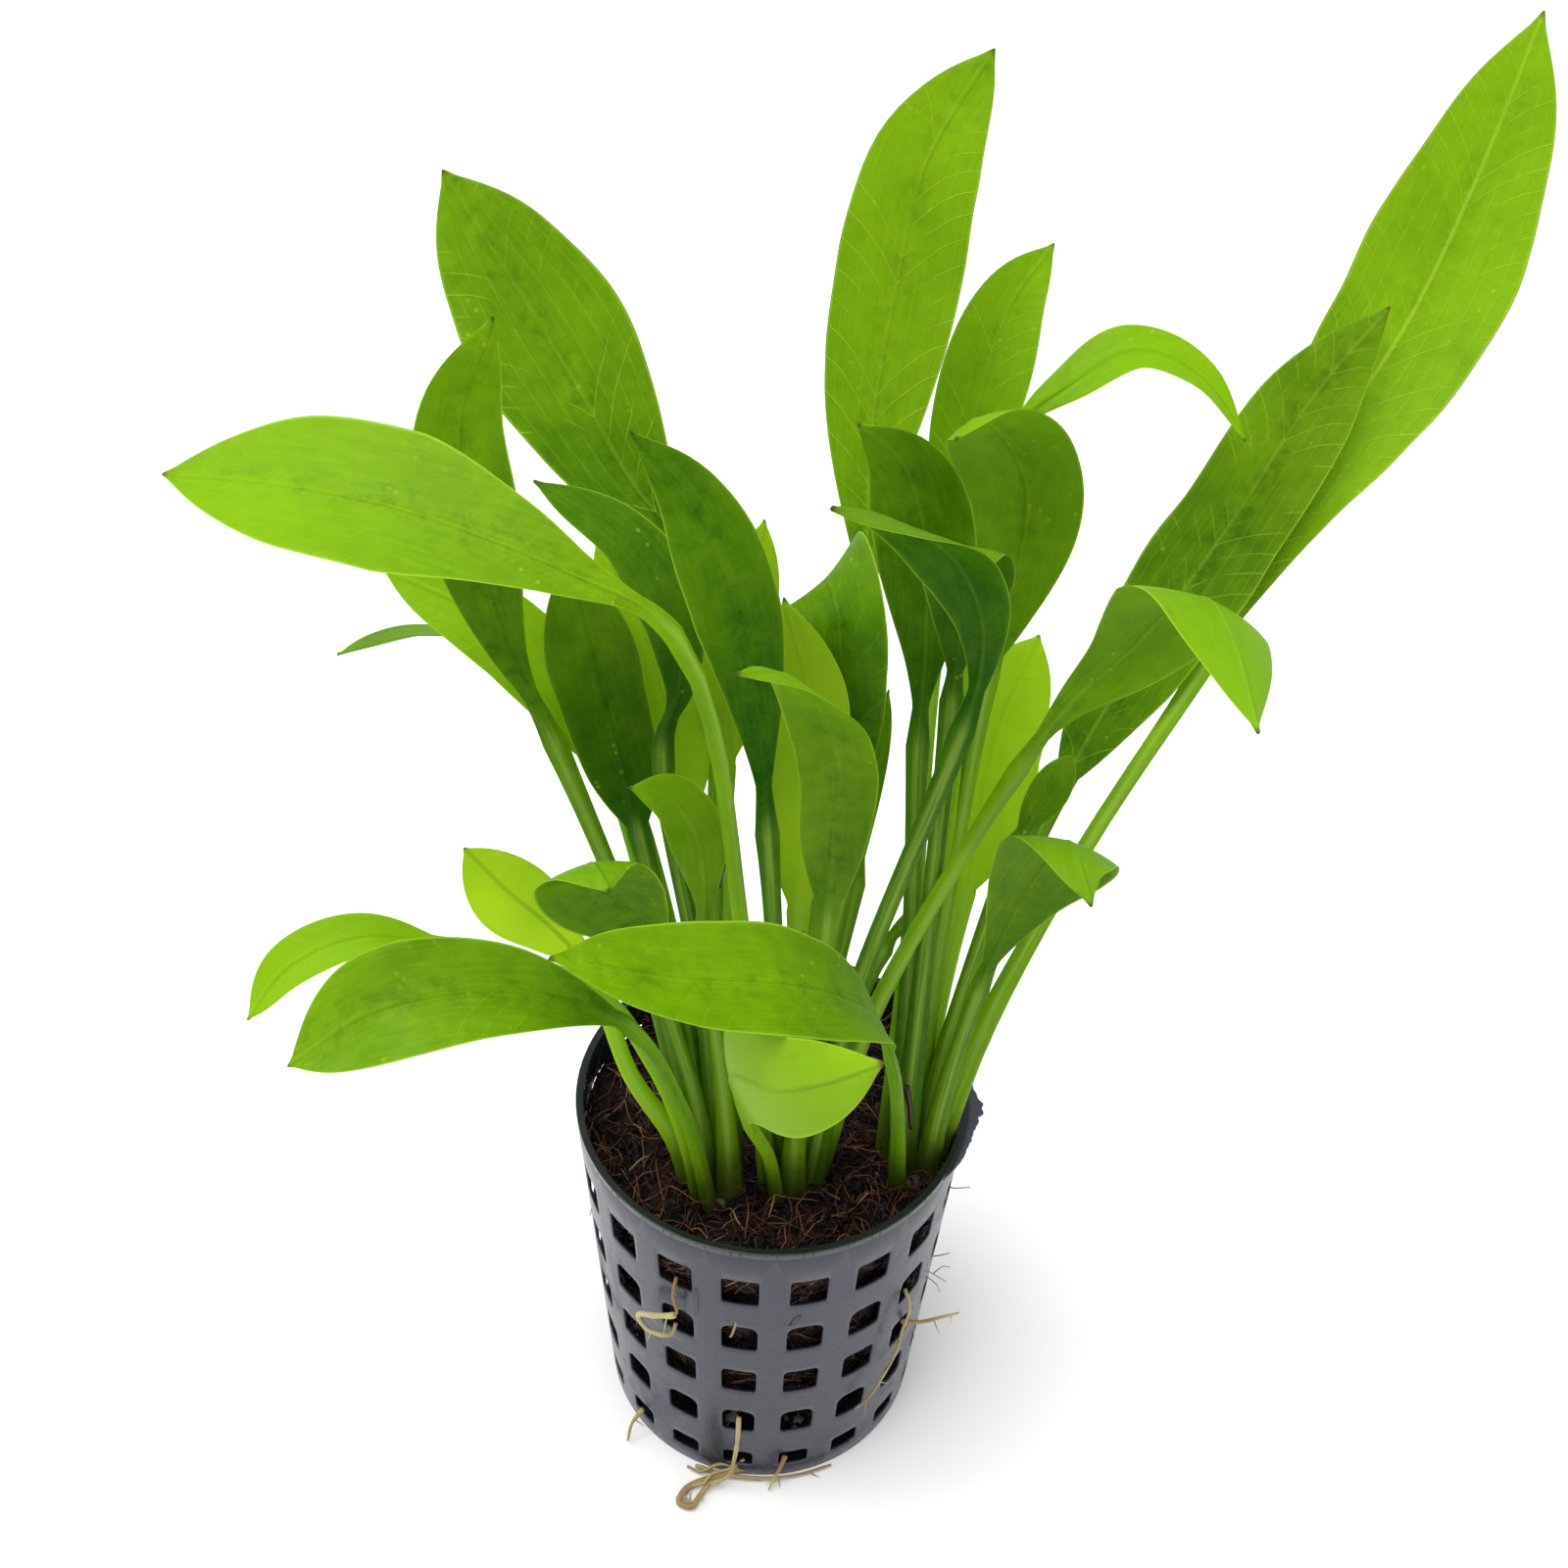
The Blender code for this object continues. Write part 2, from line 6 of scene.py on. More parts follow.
import bmesh
import bpy
import numpy as np
from bpy.props import FloatProperty, FloatVectorProperty, IntProperty, PointerProperty
from bpy.types import Operator, Panel, PropertyGroup
from mathutils import Matrix, Quaternion, Vector, noise

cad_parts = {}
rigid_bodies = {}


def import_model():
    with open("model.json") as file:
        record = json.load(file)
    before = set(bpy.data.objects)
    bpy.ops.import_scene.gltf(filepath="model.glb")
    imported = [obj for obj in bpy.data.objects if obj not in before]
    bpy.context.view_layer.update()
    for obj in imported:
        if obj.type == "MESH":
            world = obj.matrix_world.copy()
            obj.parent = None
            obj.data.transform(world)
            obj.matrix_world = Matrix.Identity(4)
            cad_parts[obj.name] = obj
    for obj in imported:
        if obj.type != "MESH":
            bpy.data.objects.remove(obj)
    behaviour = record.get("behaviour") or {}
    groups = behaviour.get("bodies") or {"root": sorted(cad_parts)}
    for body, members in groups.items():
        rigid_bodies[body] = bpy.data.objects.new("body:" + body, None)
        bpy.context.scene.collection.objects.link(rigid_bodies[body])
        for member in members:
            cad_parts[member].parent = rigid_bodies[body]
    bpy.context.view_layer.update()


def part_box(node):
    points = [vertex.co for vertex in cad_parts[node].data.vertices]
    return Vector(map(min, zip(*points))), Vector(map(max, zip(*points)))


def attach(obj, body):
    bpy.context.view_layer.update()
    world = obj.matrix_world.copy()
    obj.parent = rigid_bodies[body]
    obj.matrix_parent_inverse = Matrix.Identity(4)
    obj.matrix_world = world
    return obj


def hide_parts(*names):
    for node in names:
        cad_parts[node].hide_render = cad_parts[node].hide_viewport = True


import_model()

bl_info = {
    "name": "Potted Echinodorus",
    "version": (1, 0, 0),
    "blender": (4, 5, 0),
    "location": "3D View > Sidebar > Echinodorus",
    "description": "Builds a potted echinodorus over its packed solids",
    "category": "Add Mesh",
}

MM = 0.001

# The pot and plug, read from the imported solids
POT_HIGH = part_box("pot")[1]
POT_HEIGHT = POT_HIGH[2]
POT_TOP_RADIUS = max(POT_HIGH[0], POT_HIGH[1])
PLUG_LOW, PLUG_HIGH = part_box("coir_plug")
PLUG_TOP = PLUG_HIGH[2]
CROWNS = ("left", "middle", "right")

# The leaves' routes are those of the solids: two rings of leaves on each crown, how far a petiole
# bends out and up, and the curve's steps from point to point
INNER = 2.2 * MM
OUTER = 4.7 * MM
PETIOLE_BEND_OUT = 0.34
PETIOLE_BEND_UP = 0.5
SPLINE_STEPS = 12

# Ways that a blade's upper side may face, and ways that it may narrow to its joint
FRONT = (0.0, -1.0, 0.9)
ABOVE = (0.0, -0.3, 1.0)
DOWN = (0.0, -0.5, -1.0)
TURNED = (0.0, 1.0, -0.9)
SLIM, BROAD = "slim_taper", "broad_taper"

# How a leaf looks: shade from 0 dark to 1 light, partly the leaf's own tone and partly painted
# shade of the crowd on the inner leaves, gold, mottling by the midrib, strength of its finer
# veins, midrib from -1 dark to 1 pale, and height of its edge's ripple in millimetres
Look = namedtuple("Look", "shade gold mottle veins midrib ripple",
                  defaults=(0.5, 0.1, 0.2, 0.4, 0.3, 0.35))

# The ring and the angle in degrees say where a leaf stands on its crown. The half width and the
# path are in millimetres. The path's first points, stem of them, are on the petiole, the next is
# the blade's joint and the last its tip. The face is the one at the joint, or seen points after
# it. Twists are degrees about the leaf's own line, one a point from the joint. The base names the
# setting that narrows the blade to its joint, tip says where the blade is widest and how it
# narrows to its tip, and width how wide it is beside its solid.
Leaf = namedtuple("Leaf", "name crown ring angle half_width face look path stem seen twists base "
                          "tip width", defaults=(0, 0, (), "base_taper", None, 1.0))
LEAVES = (
    Leaf("left_long", "middle", OUTER, 205, 8.2, ABOVE,
         Look(0.74, 0.05, 0.6, 0.25, 0.25, 0.3), ((-12, -12, 142), (-23, -11, 149),
         (-37, -8, 153), (-50, -5, 154), (-63, -2, 153)), base=SLIM),
    Leaf("front_folded", "middle", OUTER, 240, 6.0, TURNED,
         Look(0.58, 0.30, 0.2, 0.15, -0.60, 0.25), ((-3, -20, 76), (-5, -28, 92), (-5, -36, 104),
         (-1, -42, 109), (4, -45, 114), (9, -46, 118)), seen=4, tip=(0.47, 0.80), width=0.95),
    Leaf("centre_folded", "middle", INNER, 290, 4.2, FRONT,
         Look(0.55, 0.05, 0.5, 0.15, 0.20, 0.3), ((5, -12, 103), (5, -13, 116), (5, -15, 127),
         (3, -18, 137), (-1, -22, 145), (-6, -27, 149)), twists=(0, 0, 0, -15, -35, -50),
         base=BROAD),
    Leaf("centre_arching", "middle", OUTER, 322, 4.6, FRONT,
         Look(0.24, 0.0, 0.2, 0.12, 0.25, 0.3), ((18, -10, 129), (19, -11, 138), (18, -12, 146),
         (14, -14, 154), (8, -18, 160), (2, -24, 165)), twists=(0, 0, 0, -10, -30, -50),
         base=SLIM),
    Leaf("right_folded", "middle", OUTER, 355, 8.0, (0.3, -1.0, 0.3),
         Look(0.72, 0.03, 0.35, 0.15, 0.35, 0.3), ((26, -2, 117), (31, 1, 124), (37, 3, 130),
         (41, 2, 137), (43, -4, 142), (44, -13, 142), (45, -22, 139)), base=SLIM,
         tip=(0.52, 1.0)),
    Leaf("centre_slim", "middle", OUTER, 62, 1.9, FRONT, Look(), ((9, 2, 95), (10, 6, 108),
         (12, 10, 119))),
    Leaf("centre_dark", "middle", INNER, 30, 5.9, (-0.5, -1.0, 0.6),
         Look(0.45, 0.0, 0.3, 0.20, 0.12, 0.3), ((9, 0, 113), (8, 0, 121), (6, 0, 129),
         (5, 2, 135), (4, 7, 136), (4, 12, 131), (6, 15, 124)), width=1.10),
    Leaf("upper_tall", "middle", OUTER, 94, 7.0, FRONT,
         Look(0.63, 0.08, 0.5, 0.90, 0.30, 0.4), ((9, 16, 125), (9, 26, 142), (11, 33, 156),
         (14, 39, 170), (21, 44, 181)), tip=(0.48, 0.80)),
    Leaf("centre_light", "middle", INNER, 100, 4.5, FRONT,
         Look(1.00, 0.45, 0.1, 0.20, 0.20, 0.3), ((2, -6, 98), (2, -3, 114), (2, -1, 127),
         (-1, 1, 138)), base=BROAD),
    Leaf("left_dark", "middle", INNER, 170, 4.7, FRONT,
         Look(0.28, 0.0, 0.4, 0.10, 0.10, 0.3), ((-2, -8, 112), (-4, -6, 131), (-7, -3, 143),
         (-11, 0, 151), (-17, 2, 157)), base=SLIM),
    Leaf("young_slim", "middle", OUTER, 28, 1.2, FRONT, Look(), ((13, 0, 86), (17, 2, 90),
         (22, 4, 92))),
    Leaf("young_tip", "middle", OUTER, 275, 1.3, FRONT, Look(), ((3, -17, 93), (3, -17, 100),
         (2, -17, 106))),
    Leaf("front_left_low", "left", OUTER, 254, 6.2, ABOVE,
         Look(0.54, 0.07, 0.5, 0.30, -0.20, 0.4), ((-17, -20, 93), (-25, -23, 101),
         (-34, -26, 105), (-43, -29, 105), (-53, -30, 97))),
    Leaf("far_left_small", "left", OUTER, 220, 3.0, (-0.3, -0.3, 1.0),
         Look(1.00, 0.12, 0.2, 0.30, -0.20, 0.2), ((-15, -12, 78), (-22, -13, 92), (-37, -12, 97),
         (-47, -14, 101), (-55, -17, 99), (-60, -20, 93)), stem=2),
    Leaf("left_yellow", "left", OUTER, 187, 4.8, FRONT,
         Look(1.10, 0.80, 0.2, 0.30, -0.70, 0.3), ((-18, -9, 72), (-23, -3, 84), (-28, -1, 90),
         (-33, 0, 95), (-38, 2, 100)), stem=1),
    Leaf("left_upright", "left", OUTER, 155, 5.4, FRONT,
         Look(0.48, 0.03, 0.5, 0.12, 0.10, 0.3), ((-26, 0, 118), (-31, 3, 129), (-34, 6, 142),
         (-35, 9, 153), (-31, 12, 164)), base=SLIM),
    Leaf("left_drooping", "left", OUTER, 122, 4.0, (0.0, 0.7, 1.0),
         Look(0.66, 0.03, 0.5, 0.12, 0.10, 0.3), ((-24, 16, 108), (-34, 24, 113), (-45, 28, 112),
         (-57, 30, 107)), base=BROAD),
    Leaf("back_left_broad", "left", OUTER, 89, 8.6, FRONT,
         Look(0.48, 0.05, 0.5, 1.00, 0.30, 0.4), ((-10, 16, 130), (-18, 21, 139), (-26, 27, 151),
         (-39, 36, 169)), tip=(0.50, 0.90)),
    Leaf("behind_left", "left", OUTER, 56, 4.0, FRONT,
         Look(0.80, 0.40, 0.1, 0.20, 0.20, 0.2), ((-7, 7, 109), (-6, 9, 124), (-3, 13, 140)),
         base=BROAD),
    Leaf("small_curled", "left", OUTER, 310, 3.4, FRONT,
         Look(0.55, 0.05, 0.1, 0.20, 0.30, 0.2), ((-9, -8, 95), (-9, -8, 104), (-10, -8, 112),
         (-13, -9, 118), (-17, -12, 122)), twists=(0, 0, 20, 50, 60), base=SLIM),
    Leaf("left_curled", "left", INNER, 230, 6.4, FRONT,
         Look(0.40, 0.03, 0.5, 0.10, 0.10, 0.3), ((-15, -9, 91), (-16, -11, 99), (-19, -14, 107),
         (-21, -17, 114), (-20, -22, 120), (-18, -27, 121))),
    Leaf("left_broad", "left", INNER, 158, 5.3, FRONT,
         Look(0.28, 0.04, 0.3, 0.15, -0.50, 0.3), ((-17, 3, 102), (-19, 5, 111), (-22, 8, 123),
         (-25, 12, 135)), base=BROAD),
    Leaf("left_back_light", "left", INNER, 86, 5.0, FRONT,
         Look(0.72, 0.12, 0.2, 0.30, 0.20, 0.3), ((-19, 8, 105), (-28, 14, 117), (-37, 18, 123),
         (-48, 22, 126)), base=BROAD),
    Leaf("left_bright", "left", INNER, 14, 5.0, FRONT,
         Look(0.85, 0.40, 0.1, 0.20, 0.20, 0.3), ((-12, 4, 101), (-13, 8, 112), (-16, 12, 124),
         (-22, 17, 135)), base=BROAD),
    Leaf("left_twisted", "left", INNER, 302, 4.5, FRONT,
         Look(0.24, 0.03, 0.2, 0.12, 0.10, 0.4), ((-14, 1, 116), (-12, 2, 125), (-13, 3, 133),
         (-18, 6, 141), (-28, 10, 146)), twists=(0, 0, 40, 60, 60), base=SLIM),
    Leaf("front_broad", "right", OUTER, 245, 7.3, (0.7, 0.0, 1.0),
         Look(0.54, 0.06, 0.55, 0.25, 0.20, 0.4), ((13, -20, 88), (9, -26, 103), (0, -32, 113),
         (-11, -36, 118), (-23, -40, 125))),
    Leaf("right_low_folded", "right", OUTER, 335, 6.5, FRONT,
         Look(0.40, 0.04, 0.2, 0.12, 0.15, 0.3), ((24, -8, 87), (26, -8, 97), (28, -9, 106),
         (30, -11, 113), (30, -16, 119), (30, -22, 121), (31, -26, 119)), base=SLIM),
    Leaf("right_tallest", "right", OUTER, 5, 9.6, FRONT,
         Look(0.69, 0.09, 0.5, 1.00, 0.90, 0.2), ((38, 8, 97), (53, 22, 118), (62, 32, 135),
         (74, 44, 150), (81, 53, 164), (87, 62, 181)), stem=1, tip=(0.50, 0.92)),
    Leaf("right_inner", "right", OUTER, 40, 6.9, FRONT,
         Look(0.42, 0.07, 0.6, 0.80, 0.40, 0.4), ((35, 14, 101), (43, 20, 117), (53, 28, 131),
         (62, 35, 145), (70, 40, 154)), base=BROAD),
    Leaf("right_small", "right", INNER, 20, 2.5, FRONT,
         Look(0.40, 0.05, 0.2, 0.30, 0.10, 0.2), ((29, 6, 99), (32, 8, 105), (35, 11, 109))),
    Leaf("right_light", "right", OUTER, 75, 5.5, FRONT,
         Look(0.88, 0.50, 0.2, 0.30, -0.20, 0.3), ((24, 10, 86), (25, 13, 93), (27, 20, 106),
         (32, 27, 115)), base=BROAD, width=1.12),
    Leaf("right_arching", "right", OUTER, 108, 3.8, (-0.2, -0.6, 1.0),
         Look(0.86, 0.03, 0.2, 0.15, -0.40, 0.3), ((25, 26, 143), (32, 29, 149), (39, 31, 152),
         (46, 29, 150), (52, 25, 144)), twists=(0, -10, -25, -35, -40)),
    Leaf("right_curled", "right", INNER, 92, 6.6, FRONT,
         Look(0.63, 0.04, 0.4, 0.15, 0.15, 0.3), ((24, 14, 118), (25, 14, 125), (26, 15, 134),
         (26, 16, 142), (23, 15, 149), (19, 11, 154), (16, 5, 155))),
    Leaf("upper_second", "right", OUTER, 141, 5.5, FRONT,
         Look(0.73, 0.09, 0.4, 0.90, 0.30, 0.3), ((19, 27, 119), (21, 34, 134), (23, 39, 143),
         (26, 44, 151), (31, 48, 157))),
    Leaf("centre_tip_fold", "right", INNER, 236, 5.0, DOWN,
         Look(0.27, 0.03, 0.3, 0.15, 0.15, 0.3), ((18, 0, 125), (18, 0, 135), (18, -1, 144),
         (17, -4, 148), (17, -8, 149), (17, -11, 148)), seen=3, base=SLIM),
    Leaf("centre_vertical", "right", INNER, 164, 5.5, FRONT,
         Look(0.32, 0.01, 0.2, 0.12, 0.25, 0.3), ((15, 2, 117), (15, 5, 130), (14, 8, 142),
         (11, 9, 150), (6, 8, 155)), base=SLIM),
)

# Roots that come out through the holes: thickness and path in millimetres, and how brown each is.
# The start says up to which share of its length a root is old, and both parts' thickness beside
# the one that is given.
Root = namedtuple("Root", "name thickness path brown start", defaults=(0.0, (0.0, 1.0, 1.0)))
ROOTS = (
    Root("pale_loop", 1.4, ((-11.9, -22.2, 48.2), (-12.3, -23.8, 46.8), (-12.0, -23.6, 42.0),
         (-14.5, -22.9, 40.6), (-17.0, -21.4, 38.4), (-15.6, -22.2, 36.2), (-12.6, -23.3, 37.0),
         (-12.0, -22.4, 38.2)), start=(0.30, 0.45, 1.0)),
    Root("long", 1.5, ((-3.4, -23.4, 17.0), (-3.5, -24.8, 14.0), (-3.9, -24.6, 8.0),
         (-4.6, -24.6, 3.5), (-6.8, -24.6, 1.5), (-9.5, -24.8, 1.1), (-11.2, -25.9, 1.0),
         (-10.0, -27.2, 1.0), (-8.2, -26.7, 1.0)), brown=0.45, start=(0.0, 1.0, 0.62)),
    Root("short", 0.9, ((3.4, -22.5, 5.4), (2.6, -23.9, 4.2), (1.8, -24.4, 2.2),
         (1.2, -25.2, 0.8))),
    Root("right", 1.2, ((18.5, -15.6, 36.6), (19.2, -17.6, 35.4), (18.4, -18.6, 31.0),
         (18.0, -18.8, 26.6), (16.4, -19.8, 22.0), (14.5, -20.6, 17.4), (12.9, -20.9, 15.4)),
         brown=0.5, start=(0.0, 1.0, 0.6)),
    Root("green", 0.9, ((18.7, -15.0, 28.0), (21.0, -15.4, 28.4), (24.5, -14.0, 27.6),
         (27.0, -12.5, 26.4))),
    Root("foot", 0.8, ((-9.4, -21.6, 0.8), (-4.8, -23.0, 0.9), (0.0, -23.5, 1.0),
         (5.2, -22.9, 0.9), (10.2, -21.2, 0.8)), brown=0.7),
    Root("left", 1.0, ((-17.2, -15.0, 4.8), (-18.8, -16.4, 3.2), (-19.4, -17.8, 0.9)),
         brown=0.6),
)


# Settings

def length(name, description, default, high=0.2):
    """A length in metres that a user may change."""
    return FloatProperty(name=name, description=description, default=default, min=0.0, max=high,
                         unit="LENGTH", precision=5)


def portion(name, description, default, high=1.0):
    """A plain number from nought to its limit."""
    return FloatProperty(name=name, description=description, default=default, min=0.0, max=high)


def number(name, description, default, low, high):
    """A whole number between its limits."""
    return IntProperty(name=name, description=description, default=default, min=low, max=high)


def turning(name, description, degrees):
    """An angle, given here in degrees."""
    return FloatProperty(name=name, description=description, default=math.radians(degrees),
                         subtype="ANGLE")


def colour(name, description, default):
    """A colour as linear red, green and blue."""
    return FloatVectorProperty(name=name, description=description, default=default, size=3,
                               subtype="COLOR", min=0.0, max=1.0)


class LeafSettings(PropertyGroup):
    """Sizes and greens of the leaves."""
    petiole_foot: length("Petiole foot", "Half width of a petiole at its crown", 2.2 * MM)
    petiole_top: length("Petiole top", "Half width of a petiole at its blade", 0.95 * MM)
    wing: length("Wing", "Width of the wings that run down a petiole", 0.45 * MM)
    blade: length("Blade", "Thickness of a blade", 0.34 * MM)
    widest: portion("Widest point", "Where a blade is widest, as a share of its length", 0.54)
    base_taper: portion("Base taper", "How a blade narrows to its joint", 1.3, 3.0)
    slim_taper: portion("Slim base", "How a blade that runs into its petiole narrows", 1.8, 3.0)
    broad_taper: portion("Broad base", "How a blade that stays broad narrows", 0.80, 3.0)
    tip_taper: portion("Tip taper", "How a blade narrows to its tip", 0.86, 3.0)
    keel: portion("Keel", "Rise of a blade's sides from its midrib, for its width", 0.18)
    # The shade green and the light green paint shade and light as well as colour: inner leaves, in
    # the crowd's shade, take the shade green, and open, lit leaves the light green.
    dark: colour("Shade green", "Green of the plant's inner leaves", (0.010, 0.118, 0.0003))
    light: colour("Light green", "Green of the open leaves", (0.275, 0.520, 0.002))
    gold: colour("Gold", "Yellow-green of ageing leaves", (0.780, 0.960, 0.040))
    pale: colour("Underside", "Pale green of a blade's underside", (0.270, 0.520, 0.014))
    # The petiole colour is the petioles' faint pale tint and the painted highlight down their
    # middle.
    petiole: colour("Petiole", "Pale green of the petioles", (0.430, 0.640, 0.090))
    # The vein colour also paints the lit rim along each blade's edge.
    vein: colour("Vein", "Pale colour of the veins", (0.560, 0.800, 0.060))
    edge: colour("Edge", "Brown of the blade's edge and tip", (0.090, 0.045, 0.010))
    sheath: colour("Sheath", "Olive of a petiole's foot in the coir", (0.070, 0.085, 0.012))
    passing: colour("Passing light", "Green that a blade lets through", (0.520, 0.860, 0.010))
    gloss: portion("Roughness", "Roughness of a leaf's skin", 0.46)


class PotSettings(PropertyGroup):
    """Sizes and colours of the net pot."""
    wall: length("Wall", "Thickness of the pot's wall", 0.42 * MM)
    foot_radius: length("Foot radius", "Outer radius of the pot's foot", 22.5 * MM)
    floor: length("Floor", "Thickness of the pot's floor", 1.2 * MM)
    columns: number("Columns", "Holes round the pot", 18, 6, 40)
    slots: number("Slots", "Slots in the pot's floor", 8, 4, 16)
    turn: turning("Turn", "Turn of the holes about the pot's axis", 1.4)
    edge: length("Edge", "Radius of the moulded edges", 0.10 * MM)
    plastic: colour("Plastic", "Colour of the pot's plastic", (0.015, 0.018, 0.034))
    # This colour paints the shade inside the pot and the dark reflection on the rim band.
    rim: colour("Rim", "Colour of the rim's moulded band", (0.006, 0.012, 0.010))
    # This colour paints the dried water marks, the vertical sheen and the light on the flash.
    haze: colour("Haze", "Dried water marks on the plastic", (0.080, 0.086, 0.125))


class CoirSettings(PropertyGroup):
    """Look of the coir plug and its fibres."""
    fibres: number("Fibres", "Fibres on the plug", 2900, 0, 8000)
    crumbs: number("Crumbs", "Crumbs on the plug", 2600, 0, 8000)
    # Painted shade: dark crumbs strewn on the pot's floor darken the view through its low holes
    # and slots.
    fallen: number("Fallen crumbs", "Crumbs on the pot's floor", 1500, 0, 8000)
    fibre_length: length("Fibre length", "Length of a fibre", 8.5 * MM)
    fibre_radius: length("Fibre radius", "Radius of a fibre", 0.135 * MM)
    earth: colour("Earth", "Dark wet coir", (0.0040, 0.0017, 0.0028))
    brown: colour("Brown", "Red-brown fibre", (0.190, 0.056, 0.016))
    straw: colour("Straw", "Pale fibre", (0.420, 0.230, 0.110))
    # This colour paints the highlights on wet grains.
    glint: colour("Glint", "Wet grains that catch the light", (0.300, 0.330, 0.450))


class RootSettings(PropertyGroup):
    """Look of the roots and crowns."""
    cream: colour("Cream", "Fresh root", (0.470, 0.430, 0.190))
    tan: colour("Tan", "Older root", (0.250, 0.140, 0.050))
    crown: colour("Crown", "The crown's skin", (0.050, 0.036, 0.012))


class StageSettings(PropertyGroup):
    """Camera, floor and light."""
    camera: FloatVectorProperty(name="Camera", description="Where the camera stands", size=3,
                                default=(-0.0057, -0.1626, 0.2530), unit="LENGTH")
    tilt: turning("Tilt", "How far the camera looks down", 40.8)
    pan: turning("Pan", "How far the camera looks to the right", 1.97)
    roll: turning("Roll", "How far the camera leans", 2.45)
    lens: FloatProperty(name="Lens", description="Focal length in millimetres on a 36 mm sensor",
                        default=43.13, min=10.0, max=200.0)
    floor: colour("Floor", "Colour of the floor", (0.96, 0.96, 0.96))
    scuffs: colour("Scuffs", "Faint cloudy marks on the floor", (0.88, 0.88, 0.88))
    sky: portion("Sky", "Strength of the white light from all round", 0.55)


SETTINGS = {"leaf": LeafSettings, "pot": PotSettings, "coir": CoirSettings, "root": RootSettings,
            "stage": StageSettings}


# Small helpers

def settings(name):
    return getattr(bpy.context.scene, "echinodorus_" + name)


def add_object(name, data, finish=None):
    made = bpy.data.objects.new(name, data)
    bpy.context.scene.collection.objects.link(made)
    if finish:
        data.materials.append(finish)
    return made


def finish_piece(piece, slot, *nodes):
    """Every piece rides on the plant's one body, and stands for its solids."""
    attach(piece, "root")
    if nodes:
        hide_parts(*nodes)


def as_plain_mesh(piece):
    """Turn a piece with modifiers into its finished mesh."""
    graph = bpy.context.evaluated_depsgraph_get()
    mesh = bpy.data.meshes.new_from_object(piece.evaluated_get(graph), depsgraph=graph)
    piece.modifiers.clear()
    piece.data = mesh
    return mesh


def store(mesh, name, values):
    """Keep a number or a vector for each point of the mesh, for its material to read."""
    values = np.asarray(values, dtype=np.float32)
    kind, field = ("FLOAT", "value") if values.ndim == 1 else ("FLOAT_VECTOR", "vector")
    mesh.attributes.new(name, kind, "POINT").data.foreach_set(field, values.ravel())


def mesh_of(name, points, faces):
    mesh = bpy.data.meshes.new(name)
    mesh.from_pydata([tuple(point) for point in points], [], faces)
    mesh.validate()
    return mesh


def mesh_from(bm, name):
    """Give a mesh under construction its finished form."""
    mesh = bpy.data.meshes.new(name)
    bm.to_mesh(mesh)
    bm.free()
    return mesh


def outward(mesh):
    """Turn a closed mesh's faces outwards."""
    bm = bmesh.new()
    bm.from_mesh(mesh)
    bmesh.ops.recalc_face_normals(bm, faces=bm.faces)
    bm.to_mesh(mesh)
    bm.free()


def loft(name, points, around):
    """A closed mesh through rings of points that follow each other in one list."""
    last = len(points) - around
    sides = [(k, (k + 1) % around, around + (k + 1) % around, around + k) for k in range(around)]
    faces = [tuple(start + k for k in side) for start in range(0, last, around) for side in sides]
    faces += [tuple(reversed(range(around))), tuple(range(last, len(points)))]
    mesh = mesh_of(name, points, faces)
    outward(mesh)
    return mesh


def circle(count, radius, height):
    """Points round the upright axis."""
    turns = [math.tau * k / count for k in range(count)]
    return [Vector((math.cos(turn) * radius, math.sin(turn) * radius, height)) for turn in turns]


def bridge(bm, first, second):
    """Join two loops of the same number of points with faces."""
    for a, b, c, d in zip(first, first[1:] + first[:1], second[1:] + second[:1], second):
        bm.faces.new((a, b, c, d))


def along_curve(route, steps):
    """A smooth line through a route that is listed in millimetres."""
    return spline([Vector(point) * MM for point in route], steps)


# Node maths

class Sock:
    """A socket whose arithmetic adds Math nodes to its tree."""

    def __init__(self, tree, socket=None):
        self.tree = tree
        self.socket = socket

    def node(self, kind, choices=None, **values):
        """Add a node: its settings first, then the values or links of its sockets."""
        made = self.tree.nodes.new(kind)
        for key, value in (choices or {}).items():
            setattr(made, key, value)
        for key, value in values.items():
            numbered = key[0] == "i" and key[1:].isdigit()
            target = made.inputs[int(key[1:])] if numbered else made.inputs[key.replace("_", " ")]
            if isinstance(value, Sock):
                self.tree.links.new(value.socket, target)
            else:
                target.default_value = value
        return made

    def of(self, kind, choices=None, output=0, **values):
        """Add a node and give one of its outputs."""
        return Sock(self.tree, self.node(kind, choices, **values).outputs[output])

    def math(self, operation, *values):
        """Add a Math node on the values, or on this socket alone."""
        numbered = {f"i{index}": value for index, value in enumerate(values or (self,))}
        return self.of("ShaderNodeMath", {"operation": operation}, **numbered)

    def __add__(self, other):
        return self.math("ADD", self, other)

    def __radd__(self, other):
        return self.math("ADD", other, self)

    def __sub__(self, other):
        return self.math("SUBTRACT", self, other)

    def __rsub__(self, other):
        return self.math("SUBTRACT", other, self)

    def __mul__(self, other):
        return self.math("MULTIPLY", self, other)

    def __truediv__(self, other):
        return self.math("DIVIDE", self, other)

    def __neg__(self):
        return self.math("MULTIPLY", self, -1.0)

    def __abs__(self):
        return self.math("ABSOLUTE")

    def rise(self, low, high):
        """Nought below low, one above high, smooth between."""
        return self.of("ShaderNodeMapRange", {"interpolation_type": "SMOOTHSTEP"},
                       i0=self, i1=low, i2=high, i3=0.0, i4=1.0)

    def fall(self, low, high):
        """One below low, nought above high."""
        return 1 - self.rise(low, high)


